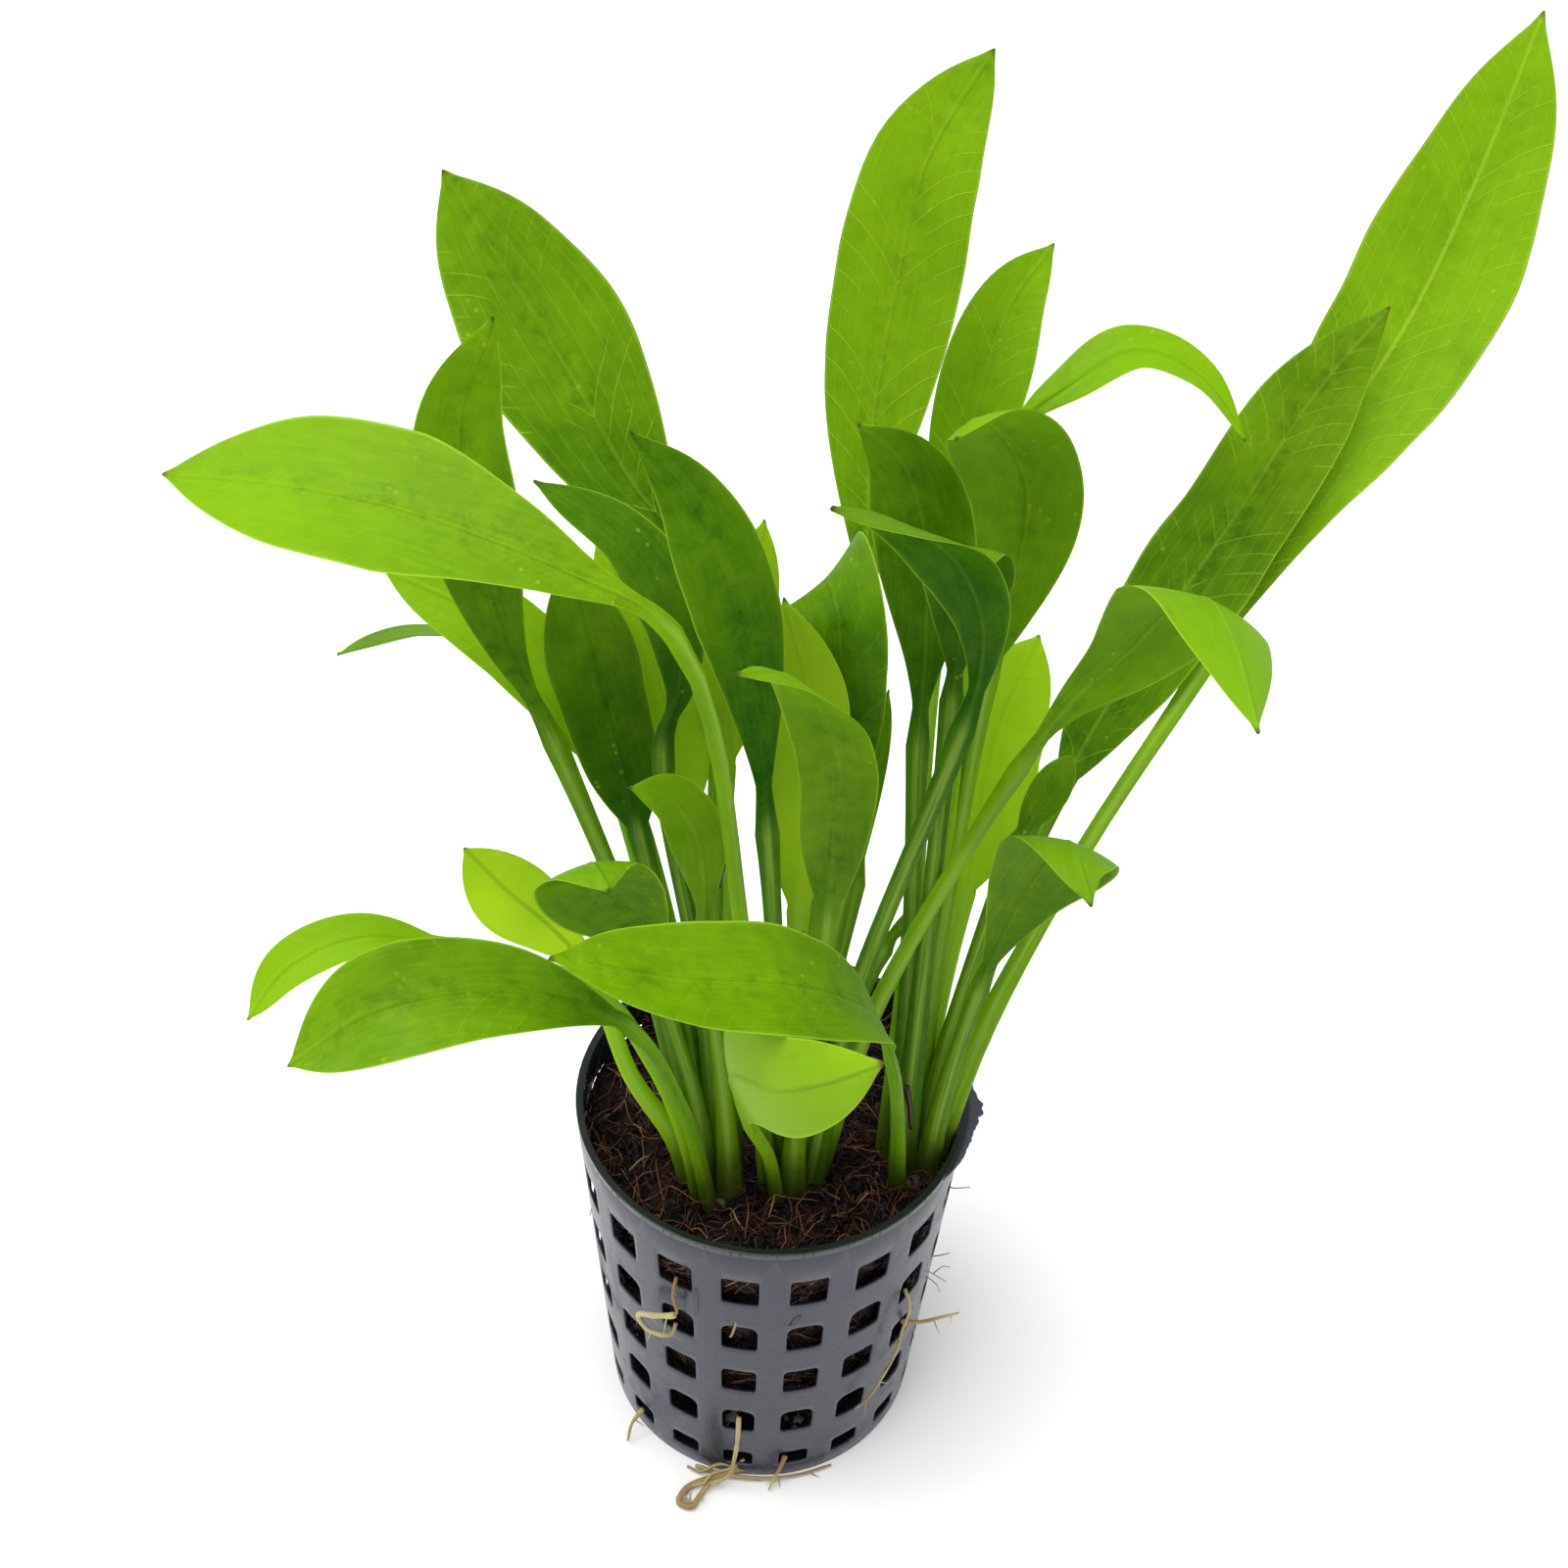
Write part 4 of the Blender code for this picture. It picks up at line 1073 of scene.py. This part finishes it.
def wall_wedge():
    """One column of holes in the pot's wall, as an open surface facing outwards."""
    s = settings("pot")
    half = math.pi / s.columns
    centres = [row[0] for row in HOLE_ROWS]
    marks = [POT_HEIGHT / MM, *[(a + b) / 2 for a, b in zip(centres, centres[1:])], 0.0]
    cells = []
    for (centre, width, height, top, low), high_mark, low_mark in zip(HOLE_ROWS, marks, marks[1:]):
        reach = half * pot_radius(centre * MM) / MM
        hole = [(x / reach * half, z) for x, z in hole_loop(centre, width, height, top, low)]
        cells.append((square_loop(-half, half, low_mark, high_mark), hole))

    def place(angle, height):
        radius = pot_radius(height * MM)
        return Vector((radius * math.cos(angle), radius * math.sin(angle), height * MM))
    bm = pierced_cells(cells, place)
    bmesh.ops.recalc_face_normals(bm, faces=bm.faces)
    return bm


def floor_wedge():
    """One slotted sector of the pot's floor."""
    s = settings("pot")
    half = math.pi / s.slots
    near, far, width = FLOOR_SLOT
    rim = (pot_radius(s.floor) - s.wall / 2) / MM
    hole = hole_loop((near + far) / 2, width, far - near, SLOT_ROUND, SLOT_ROUND)
    cell = [(radius * math.sin(angle), radius * math.cos(angle))
            for angle, radius in square_loop(-half, half, near / 2, rim)]

    def place(x, y):
        return Vector((y * MM, x * MM, 0.0))
    return pierced_cells([(cell, hole)], place)


def moulded(piece, thickness):
    """Give an open surface its wall, inwards, and soft moulded edges."""
    wall = piece.modifiers.new("Wall", "SOLIDIFY")
    wall.thickness = thickness
    wall.offset = -1.0
    wall.use_even_offset = True
    soft = piece.modifiers.new("Edges", "BEVEL")
    soft.width = settings("pot").edge
    soft.segments = 2
    soft.limit_method = "ANGLE"
    soft.angle_limit = MOULDED_CREASE


def build_pot(finish):
    """The net pot: wall, floor, rim, and the torn flash along the rim."""
    s = settings("pot")
    ring = ring_of_wedges()
    parts = []
    for name, bm, count, turn, thickness in (
            ("wall", wall_wedge(), s.columns, s.turn, s.wall),
            ("floor", floor_wedge(), s.slots, math.pi / s.slots, s.floor)):
        piece = add_object(name, mesh_from(bm, name))
        ring.on(piece, Count=count, Turn=turn, Material=finish)
        moulded(piece, thickness)
        as_plain_mesh(piece)
        parts.append(piece)
    return joined_piece("moulded_pot", (*parts, rim_ring(), rim_flash()), finish)


def rim_ring():
    """The thicker band that the wall ends in."""
    top = POT_HEIGHT
    outer = POT_TOP_RADIUS
    inner = outer - RIM_WALL
    soft = settings("pot").edge
    small_tuck, large_tuck = RIM_TUCKS
    profile = ((inner, top - RIM_FOOT), (inner, top - soft), (inner + soft, top),
               (outer - soft, top), (outer, top - soft), (outer - small_tuck, top - RIM_BAND),
               (outer - large_tuck, top - RIM_FOOT))
    loops = [circle(RIM_STEPS, radius, height) for radius, height in profile]
    bm = bmesh.new()
    rings = [[bm.verts.new(point) for point in section] for section in zip(*loops)]
    for first, second in zip(rings, rings[1:] + rings[:1]):
        bridge(bm, first, second)
    bmesh.ops.recalc_face_normals(bm, faces=bm.faces)
    return add_object("rim", mesh_from(bm, "rim"))


def rim_flash():
    """A thin torn fin of plastic left along part of the rim."""
    angles, reaches = zip(*FLASH)
    points = []
    for index in range(FLASH_STEPS + 1):
        angle = angles[0] + (angles[-1] - angles[0]) * index / FLASH_STEPS
        torn = 1 + FLASH_UNEVEN * noise.noise(Vector((angle * 0.6, 3.0, 0.0)))
        reach = float(np.interp(angle, angles, reaches)) * torn
        turn = math.radians(angle)
        for out, drop in zip((FLASH_ROOT, reach, reach, FLASH_ROOT), FLASH_DROPS):
            radius = POT_TOP_RADIUS + out * MM
            points.append((radius * math.cos(turn), radius * math.sin(turn),
                           POT_HEIGHT - drop * MM))
    return add_object("flash", loft("flash", points, len(FLASH_DROPS)))


def joined_piece(name, parts, finish):
    """Join finished meshes in one named piece."""
    bm = bmesh.new()
    for part in parts:
        bm.from_mesh(part.data)
        bpy.data.meshes.remove(part.data)
    mesh = mesh_from(bm, name)
    mesh.shade_smooth()
    mesh.set_sharp_from_angle(angle=JOINED_CREASE)
    return add_object(name, mesh, finish)


# Coir

PLUG_AROUND = 96
PLUG_RINGS = 34
PLUG_SIDE_ROWS = 30
TOP_SINK = 0.2 * MM              # how far the coir's top lies below the plug's, and off the wall
TOP_GAP = 0.3 * MM
TOP_LUMPS, SIDE_LUMPS = 1.1 * MM, 0.9 * MM
TOP_DISH = 0.8 * MM              # how far it falls off to the wall
SIDE_GAP = 1.0 * MM
WALL_ROOM = 0.15 * MM            # room that crumbs and fibres leave to the wall
FIBRE_KINDS = 9
FIBRE_STEPS = 7
FIBRE_TAPER = 0.6
CRUMB_KINDS = 5
CRUMB_RADIUS = 0.6 * MM
CRUMB_LUMPS, CRUMB_WAVES, CRUMB_FLATNESS = 0.7, 1800.0, 0.7
SHADING_CRUMB_REACH = 0.78              # radius of the crumbs strewn as painted shade, as a share of the foot's


def plug_rows(level, radius, lumps):
    """Points round the plug at one level, each with how far its lumps push it in or out."""
    return [(flat, noise.fractal(flat * 220.0, 0.8, 2.1, 4) * lumps)
            for flat in circle(PLUG_AROUND, radius, level)]


def build_earth(finish):
    """The plug of coir: a lumpy top inside the rim and rough sides behind the holes."""
    bm = bmesh.new()
    top = PLUG_TOP - TOP_SINK
    wall = settings("pot").wall
    rows = []
    for ring in range(1, PLUG_RINGS + 1):
        share = ring / PLUG_RINGS
        level = plug_rows(top, (pot_radius(top) - wall - TOP_GAP) * share, TOP_LUMPS)
        rows.append([bm.verts.new(flat + Vector((0.0, 0.0, lump - TOP_DISH * share ** 6)))
                     for flat, lump in level])
    for step in range(1, PLUG_SIDE_ROWS + 1):
        height = top + (PLUG_LOW[2] - top) * step / PLUG_SIDE_ROWS
        level = plug_rows(height, pot_radius(height) - wall - SIDE_GAP * min(1.0, 0.15 + step / 8),
                          SIDE_LUMPS)
        rows.append([bm.verts.new(flat - Vector((flat.x, flat.y, 0.0)).normalized()
                                  * (abs(lump) + 0.1 * MM)) for flat, lump in level])
    for edge, height in ((rows[0], top), (rows[-1], PLUG_LOW[2])):
        middle = bm.verts.new((0.0, 0.0, height))
        for first, second in zip(edge, edge[1:] + edge[:1]):
            bm.faces.new((first, second, middle))
    for upper, lower in zip(rows, rows[1:]):
        bridge(bm, upper, lower)
    bmesh.ops.recalc_face_normals(bm, faces=bm.faces)
    mesh = mesh_from(bm, "coir_earth")
    mesh.shade_smooth()
    return add_object("coir_earth", mesh, finish)


def tube(bm, line, radii, sides=3):
    """A closed tube along a line of points."""
    along, ups = carried_frames(line, 0, Vector((0.3, 0.5, 1.0)))
    rings = []
    for point, forward, up, radius in zip(line, along, ups, radii):
        across = forward.cross(up)
        rings.append([bm.verts.new(point + (across * math.cos(math.tau * k / sides)
                                            + up * math.sin(math.tau * k / sides)) * radius)
                      for k in range(sides)])
    for first, second in zip(rings, rings[1:]):
        bridge(bm, second, first)
    bm.faces.new(rings[0])
    bm.faces.new(list(reversed(rings[-1])))


def fibre(kind):
    """A fibre with its own curl."""
    s = settings("coir")
    line = []
    for step in range(FIBRE_STEPS + 1):
        t = step / FIBRE_STEPS
        lift = noise.noise(Vector((t * 1.9, kind * 5.3, 7.0))) + 0.25 * math.sin(math.pi * t)
        bend = Vector((0.0, noise.noise(Vector((t * 1.7, kind * 3.1, 0.0))), lift))
        line.append(Vector((t - 0.5, 0.0, 0.0)) * s.fibre_length + bend * s.fibre_length * 0.5)
    bm = bmesh.new()
    tube(bm, line, [s.fibre_radius * (1.0 - FIBRE_TAPER * step / FIBRE_STEPS)
                    for step in range(FIBRE_STEPS + 1)])
    mesh = mesh_from(bm, f"fibre {kind}")
    mesh.shade_smooth()
    return mesh


def crumb(kind):
    """A lump of coir pith."""
    bm = bmesh.new()
    bmesh.ops.create_icosphere(bm, subdivisions=1, radius=CRUMB_RADIUS)
    for vert in bm.verts:
        own = vert.co * CRUMB_WAVES + Vector((kind * 9.0, 0.0, 0.0))
        vert.co *= 1.0 + CRUMB_LUMPS * noise.noise(own)
        vert.co.z *= CRUMB_FLATNESS
    return mesh_from(bm, f"crumb {kind}")


def half_of(ground, on_top):
    """A copy of the plug's mesh with only its upper face, or only its sides and foot."""
    bm = bmesh.new()
    bm.from_mesh(ground.data)
    edge = PLUG_TOP - 1.5 * MM
    away = [face for face in bm.faces if (face.calc_center_median().z > edge) != on_top]
    bmesh.ops.delete(bm, geom=away, context="FACES")
    return mesh_from(bm, "ground")


def pot_floor_ground():
    """A disc on the pot's floor, for the dark crumbs strewn on it as painted shade."""
    s = settings("pot")
    bm = bmesh.new()
    bmesh.ops.create_circle(bm, cap_ends=True, segments=24, radius=s.foot_radius * SHADING_CRUMB_REACH)
    bmesh.ops.translate(bm, vec=(0.0, 0.0, s.floor), verts=bm.verts)
    return mesh_from(bm, "ground")


def keep_inside(mesh):
    """Press what would pierce the pot's wall against the wall's inside."""
    places = np.empty(len(mesh.vertices) * 3, dtype=np.float32)
    mesh.vertices.foreach_get("co", places)
    places = places.reshape(-1, 3)
    radius = np.hypot(places[:, 0], places[:, 1])
    limit = pot_radius(np.clip(places[:, 2], 0.0, POT_HEIGHT)) - settings("pot").wall - WALL_ROOM
    places[:, :2] *= np.minimum(1.0, limit / np.maximum(radius, MM))[:, None]
    mesh.vertices.foreach_set("co", places.ravel())
    mesh.update()


def scatter(name, ground, make_bit, kinds, finish, **values):
    """Scatter a few kinds of bits over a ground mesh and keep them as one plain piece."""
    bits = bpy.data.collections.new("bits")
    for kind in range(kinds):
        mesh = make_bit(kind)
        bits.objects.link(bpy.data.objects.new(mesh.name, mesh))
    piece = add_object(name, ground)
    area = sum(face.area for face in ground.polygons)
    values["Count"] = round(values["Count"] / area)
    scattered_bits().on(piece, Bits=bits, Material=finish, **values)
    mesh = as_plain_mesh(piece)
    mesh.materials.clear()
    mesh.materials.append(finish)
    keep_inside(mesh)
    for item in list(bits.objects):
        bpy.data.objects.remove(item)
    bpy.data.collections.remove(bits)
    return piece


# How the coir is strewn: whether on the top, share of the bits, and the fibres' lean, lift in
# millimetres and rise
COIR_SIDES = (("top", True, 0.45, 0.4, 0.3, 1.0), ("side", False, 0.55, 0.06, 0.0, 0.25))

# Loose fibres and withered bits, in millimetres: radius, tint from 0 dark to 1 straw, route
LOOSE_FIBRES = (
    (0.09, 0.85, ((22.2, -6.0, 30.0), (24.3, -6.0, 30.6), (25.6, -7.0, 32.6))),
    (0.08, 0.70, ((21.3, -8.0, 31.0), (23.5, -8.0, 29.1), (25.5, -8.0, 27.2))),
    (0.07, 0.80, ((21.4, -8.0, 29.6), (23.9, -9.0, 28.2), (24.6, -9.5, 26.9))),
    (0.07, 0.75, ((23.5, -8.0, 29.1), (24.8, -7.4, 30.0), (25.9, -7.2, 29.6))),
    (0.10, 0.60, ((22.8, -4.0, 44.6), (25.0, -4.4, 44.0), (27.4, -5.0, 44.9))),
    (0.22, 1.00, ((-4.4, -22.6, 42.4), (-4.2, -24.6, 42.0), (-4.7, -24.9, 39.4),
                  (-4.9, -24.2, 38.0))),
    (0.14, 1.00, ((-18.5, -9.7, 53.6), (-17.0, -8.6, 54.6), (-15.8, -7.6, 54.2))),
    (0.11, 0.55, ((-9.2, -22.4, 50.0), (-9.6, -23.9, 46.4), (-9.4, -23.6, 41.2))),
    (0.10, 0.50, ((-22.4, -3.0, 40.0), (-24.0, -3.6, 39.0), (-24.6, -4.4, 36.6))),
    (0.10, 0.65, ((2.0, -24.4, 40.8), (3.6, -25.2, 42.8), (4.8, -24.0, 45.2))),
    (0.50, 0.00, ((-7.2, -6.0, 108.5), (-6.4, -6.0, 107.6), (-6.9, -6.0, 105.1),
                  (-7.4, -6.0, 101.8))),
    (0.45, 0.42, ((16.6, -9.0, 70.5), (17.2, -9.5, 67.5), (17.6, -10.0, 63.5))),
)

STRAND_TAPER = 0.4

# Root ends that lie at the pot's foot, in millimetres: radius, how brown, route
FOOT_ROOTS = (
    (0.62, 0.90, ((-1.6, -21.6, 0.9), (-4.4, -22.6, 1.0), (-7.6, -23.8, 1.0),
                  (-10.6, -25.2, 0.9), (-11.6, -27.2, 0.9), (-9.8, -27.9, 0.9),
                  (-8.6, -26.2, 1.0), (-7.4, -24.9, 1.6))),
    (0.30, 0.80, ((-3.2, -22.2, 1.6), (-6.0, -22.0, 2.0), (-8.6, -22.6, 1.0),
                  (-10.6, -21.6, 0.6))),
    (0.24, 0.40, ((-2.4, -21.9, 3.2), (-4.6, -22.6, 1.8), (-7.0, -23.6, 2.2),
                  (-8.2, -25.0, 1.8))),
)


def loose_strands(name, table, mark, finish):
    """The few fibres or roots that are placed one by one, each with its own tint."""
    bm = bmesh.new()
    tints = []
    for radius, tint, route in table:
        line = along_curve(route, 5)
        tube(bm, line, [radius * MM * (1 - STRAND_TAPER * step / len(line))
                        for step in range(len(line))], 6)
        bm.verts.ensure_lookup_table()
        tints += [tint] * (len(bm.verts) - len(tints))
    mesh = mesh_from(bm, name)
    store(mesh, mark, tints)
    mesh.shade_smooth()
    return add_object(name, mesh, finish)


# Roots and crowns

ROOT_SHARE = 0.75                # a root's thickness beside its solid's
ROOT_SIDES = 10
ROOT_TAPER = 0.5
ROOT_UNEVEN, ROOT_WAVES = 0.25, 700.0
OLD_START = 1.25                 # how brown a thin start is
HAIR_LENGTH = 2.2                # in millimetres
HAIR_RADIUS = 0.13 * MM
HAIR_SAG = 0.25 * MM
HAIR_STEPS = 4
HAIR_TAPER = 0.2                 # how much a hair thins at each step
HAIR_WAVES = 500.0
GROUND_ROOM = 0.3 * MM           # how high a hair's middle stays over the ground
CROWN_SUNK = 1.2 * MM
CROWN_FOOT = 1.0 * MM
CROWN_LUMPS, CROWN_WAVES = 0.55, 320.0   # the lumps in millimetres


def root_hair(start):
    """A short side rootlet that sags to its end and stays over the ground."""
    other = start * HAIR_WAVES + Vector((9.0, 0.0, 0.0))
    side = Vector((noise.noise(start * HAIR_WAVES), noise.noise(other), -0.3))
    side = side.normalized() * HAIR_LENGTH * MM
    hair = []
    for step in range(HAIR_STEPS + 1):
        t = step / HAIR_STEPS
        x, y, z = start + side * t + Vector((0.0, 0.0, -HAIR_SAG * t ** 2))
        hair.append(Vector((x, y, max(z, GROUND_ROOM))))
    return hair


def build_root(root, finish):
    """A root that tapers to its tip, a little uneven, with short side rootlets."""
    line = along_curve(root.path, 8)
    start_until, start_size, size = root.start
    radii, browns = [], []
    for index, point in enumerate(line):
        t = index / (len(line) - 1)
        share = start_size if t < start_until else size
        uneven = (1.0 - ROOT_TAPER * t) * (1 + ROOT_UNEVEN * noise.noise(point * ROOT_WAVES))
        radii.append(share * root.thickness * MM * ROOT_SHARE / 2 * uneven)
        browns += [OLD_START if t < start_until else root.brown] * ROOT_SIDES
    bm = bmesh.new()
    tube(bm, line, radii, ROOT_SIDES)
    for start in line[6:-4:7]:
        tube(bm, root_hair(start), [HAIR_RADIUS * (1 - HAIR_TAPER * step)
                                    for step in range(HAIR_STEPS + 1)], 5)
    mesh = mesh_from(bm, root.name)
    store(mesh, "brown", browns + [root.brown] * (len(mesh.vertices) - len(browns)))
    mesh.shade_smooth()
    return add_object("grown_root_" + root.name, mesh, finish)


def build_crown(name, finish):
    """A crown: a low fibrous dome, lumpy where old leaves were."""
    low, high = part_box(name)
    x, y = CLUMPS[name.removeprefix("crown_")]
    middle = Vector((x * MM, y * MM, low[2]))
    radius = (high[0] - low[0]) / 2
    bm = bmesh.new()
    bmesh.ops.create_uvsphere(bm, u_segments=48, v_segments=24, radius=1.0)
    for vert in bm.verts:
        tall = high[2] - low[2] - CROWN_SUNK if vert.co.z > 0 else CROWN_FOOT
        spot = Vector((vert.co.x * radius, vert.co.y * radius, vert.co.z * tall)) + middle
        out = Vector((vert.co.x, vert.co.y, 0.3))
        vert.co = spot + out * noise.fractal(spot * CROWN_WAVES, 0.8, 2.0, 3) * CROWN_LUMPS * MM
    mesh = mesh_from(bm, name)
    outward(mesh)
    mesh.shade_smooth()
    return add_object("grown_" + name, mesh, finish)


# Stage

# Soft lights: name, place in metres, width and power
LIGHTS = (("top light", (-0.35, -0.15, 1.8), 1.3, 33.0),
          ("left light", (-0.9, 0.2, 0.5), 0.6, 3.2),
          ("right light", (0.9, -0.1, 0.5), 0.5, 2.0))
LIT_SPOT = Vector((0.0, 0.0, 0.08))
FLOOR_HALF = 2.0


def build_stage():
    """A white studio: floor, soft light from above and the sides, and the photograph's view."""
    s = settings("stage")
    half = FLOOR_HALF
    corners = [(-half, -half, 0.0), (half, -half, 0.0), (half, half, 0.0), (-half, half, 0.0)]
    ground = Finish("studio floor")
    ground.set(Base_Color=ground.mix(ground.noise(3.0) * 0.05, s.floor, s.scuffs), Roughness=0.7)
    add_object("studio_floor", mesh_of("studio_floor", corners, [(0, 1, 2, 3)]),
                        ground.material)
    world = bpy.data.worlds.new("studio")
    world.use_nodes = True
    sky = world.node_tree.nodes["Background"]
    sky.inputs["Color"].default_value = (1.0, 1.0, 1.0, 1.0)
    sky.inputs["Strength"].default_value = s.sky
    bpy.context.scene.world = world
    for name, place, size, power in LIGHTS:
        light = bpy.data.lights.new(name, "AREA")
        light.size = size
        light.energy = power
        lamp = add_object(name, light)
        lamp.location = place
        lamp.rotation_euler = (LIT_SPOT - Vector(place)).to_track_quat("-Z", "Y").to_euler()
    add_camera(s)
    bpy.context.scene.view_settings.view_transform = "Standard"


def add_camera(s):
    """Look at the plant as the photograph does."""
    look = Vector((math.sin(s.pan) * math.cos(s.tilt), math.cos(s.pan) * math.cos(s.tilt),
                   -math.sin(s.tilt)))
    level = Vector((math.cos(s.pan), -math.sin(s.pan), 0.0))
    upright = level.cross(look)
    right = level * math.cos(s.roll) + upright * math.sin(s.roll)
    up = upright * math.cos(s.roll) - level * math.sin(s.roll)
    camera = bpy.data.cameras.new("camera")
    camera.lens = s.lens
    camera.sensor_width = 36.0
    camera.clip_start = 0.01
    made = add_object("camera", camera)
    made.matrix_world = Matrix((
        (right.x, up.x, -look.x, s.camera[0]), (right.y, up.y, -look.y, s.camera[1]),
        (right.z, up.z, -look.z, s.camera[2]), (0.0, 0.0, 0.0, 1.0)))
    bpy.context.scene.camera = made


# Operators

class ECHINODORUS_OT_pot(Operator):
    """Build the slotted net pot"""
    bl_idname = "echinodorus.pot"
    bl_label = "Net pot"

    def execute(self, context):
        finish_piece(build_pot(pot_finish()), "pot_plastic", "pot")
        return {"FINISHED"}


class ECHINODORUS_OT_coir(Operator):
    """Build the coir plug with its crumbs and fibres"""
    bl_idname = "echinodorus.coir"
    bl_label = "Coir"

    def execute(self, context):
        s = settings("coir")
        earth = earth_finish()
        fibrous = fibre_finish()
        ground = build_earth(earth)
        finish_piece(ground, "coir", "coir_plug")
        for name, on_top, share, lean, lift, rise in COIR_SIDES:
            crumbs = scatter("coir_crumbs_" + name, half_of(ground, on_top), crumb, CRUMB_KINDS,
                             earth, Count=s.crumbs * share, Smallest=0.4, Largest=1.5, Lift=0.0,
                             Lean=0.5, Rise=rise ** 0.5, Seed=4)
            fibres = scatter("coir_fibres_" + name, half_of(ground, on_top), fibre, FIBRE_KINDS,
                             fibrous, Count=s.fibres * share, Smallest=0.3, Largest=1.15,
                             Lift=lift * MM, Lean=lean, Rise=rise, Seed=11)
            finish_piece(crumbs, "coir")
            finish_piece(fibres, "coir")
        # Painted shade: dark crumbs on the pot's floor darken the view through the low holes and
        # slots.
        fallen = scatter("coir_fallen", pot_floor_ground(), crumb, CRUMB_KINDS, earth,
                         Count=s.fallen, Smallest=0.5, Largest=1.3, Lift=0.2 * MM, Lean=0.5,
                         Rise=0.7, Seed=9)
        finish_piece(fallen, "coir")
        finish_piece(loose_strands("loose_fibres", LOOSE_FIBRES, "tint", fibrous), "coir")
        return {"FINISHED"}


class ECHINODORUS_OT_crowns(Operator):
    """Build the three crowns"""
    bl_idname = "echinodorus.crowns"
    bl_label = "Crowns"

    def execute(self, context):
        finish = crown_finish()
        for name in CROWNS:
            finish_piece(build_crown("crown_" + name, finish), "crown", "crown_" + name)
        return {"FINISHED"}


class ECHINODORUS_OT_leaves(Operator):
    """Build every leaf from its petiole to its tip"""
    bl_idname = "echinodorus.leaves"
    bl_label = "Leaves"

    def execute(self, context):
        finish = leaf_finish()
        for leaf in LEAVES:
            finish_piece(build_leaf(leaf, finish), "leaf", "leaf_" + leaf.name)
        return {"FINISHED"}


class ECHINODORUS_OT_roots(Operator):
    """Build the roots that come out of the pot"""
    bl_idname = "echinodorus.roots"
    bl_label = "Roots"

    def execute(self, context):
        finish = root_finish()
        for root in ROOTS:
            finish_piece(build_root(root, finish), "root", "root_" + root.name)
        finish_piece(loose_strands("loose_roots", FOOT_ROOTS, "brown", finish), "root")
        return {"FINISHED"}


class ECHINODORUS_OT_stage(Operator):
    """Set the floor, lights and camera"""
    bl_idname = "echinodorus.stage"
    bl_label = "Studio"

    def execute(self, context):
        build_stage()
        return {"FINISHED"}


OPERATORS = (ECHINODORUS_OT_stage, ECHINODORUS_OT_pot, ECHINODORUS_OT_coir, ECHINODORUS_OT_crowns,
             ECHINODORUS_OT_leaves, ECHINODORUS_OT_roots)


class ECHINODORUS_PT_panel(Panel):
    """Lists the plant's parts and their settings"""
    bl_label = "Potted Echinodorus"
    bl_idname = "ECHINODORUS_PT_panel"
    bl_space_type = "VIEW_3D"
    bl_region_type = "UI"
    bl_category = "Echinodorus"

    def draw(self, context):
        for operator in OPERATORS:
            self.layout.operator(operator.bl_idname)
        for name, group in SETTINGS.items():
            box = self.layout.box()
            box.label(text=name.capitalize())
            for key in group.__annotations__:
                box.prop(settings(name), key)


CLASSES = (*SETTINGS.values(), *OPERATORS, ECHINODORUS_PT_panel)


def register():
    for item in CLASSES:
        bpy.utils.register_class(item)
    for name, group in SETTINGS.items():
        setattr(bpy.types.Scene, "echinodorus_" + name, PointerProperty(type=group))


def unregister():
    for name in SETTINGS:
        delattr(bpy.types.Scene, "echinodorus_" + name)
    for item in reversed(CLASSES):
        bpy.utils.unregister_class(item)


def main():
    register()
    for step in ("stage", "pot", "coir", "crowns", "leaves", "roots"):
        getattr(bpy.ops.echinodorus, step)()


if __name__ == "__main__":
    main()
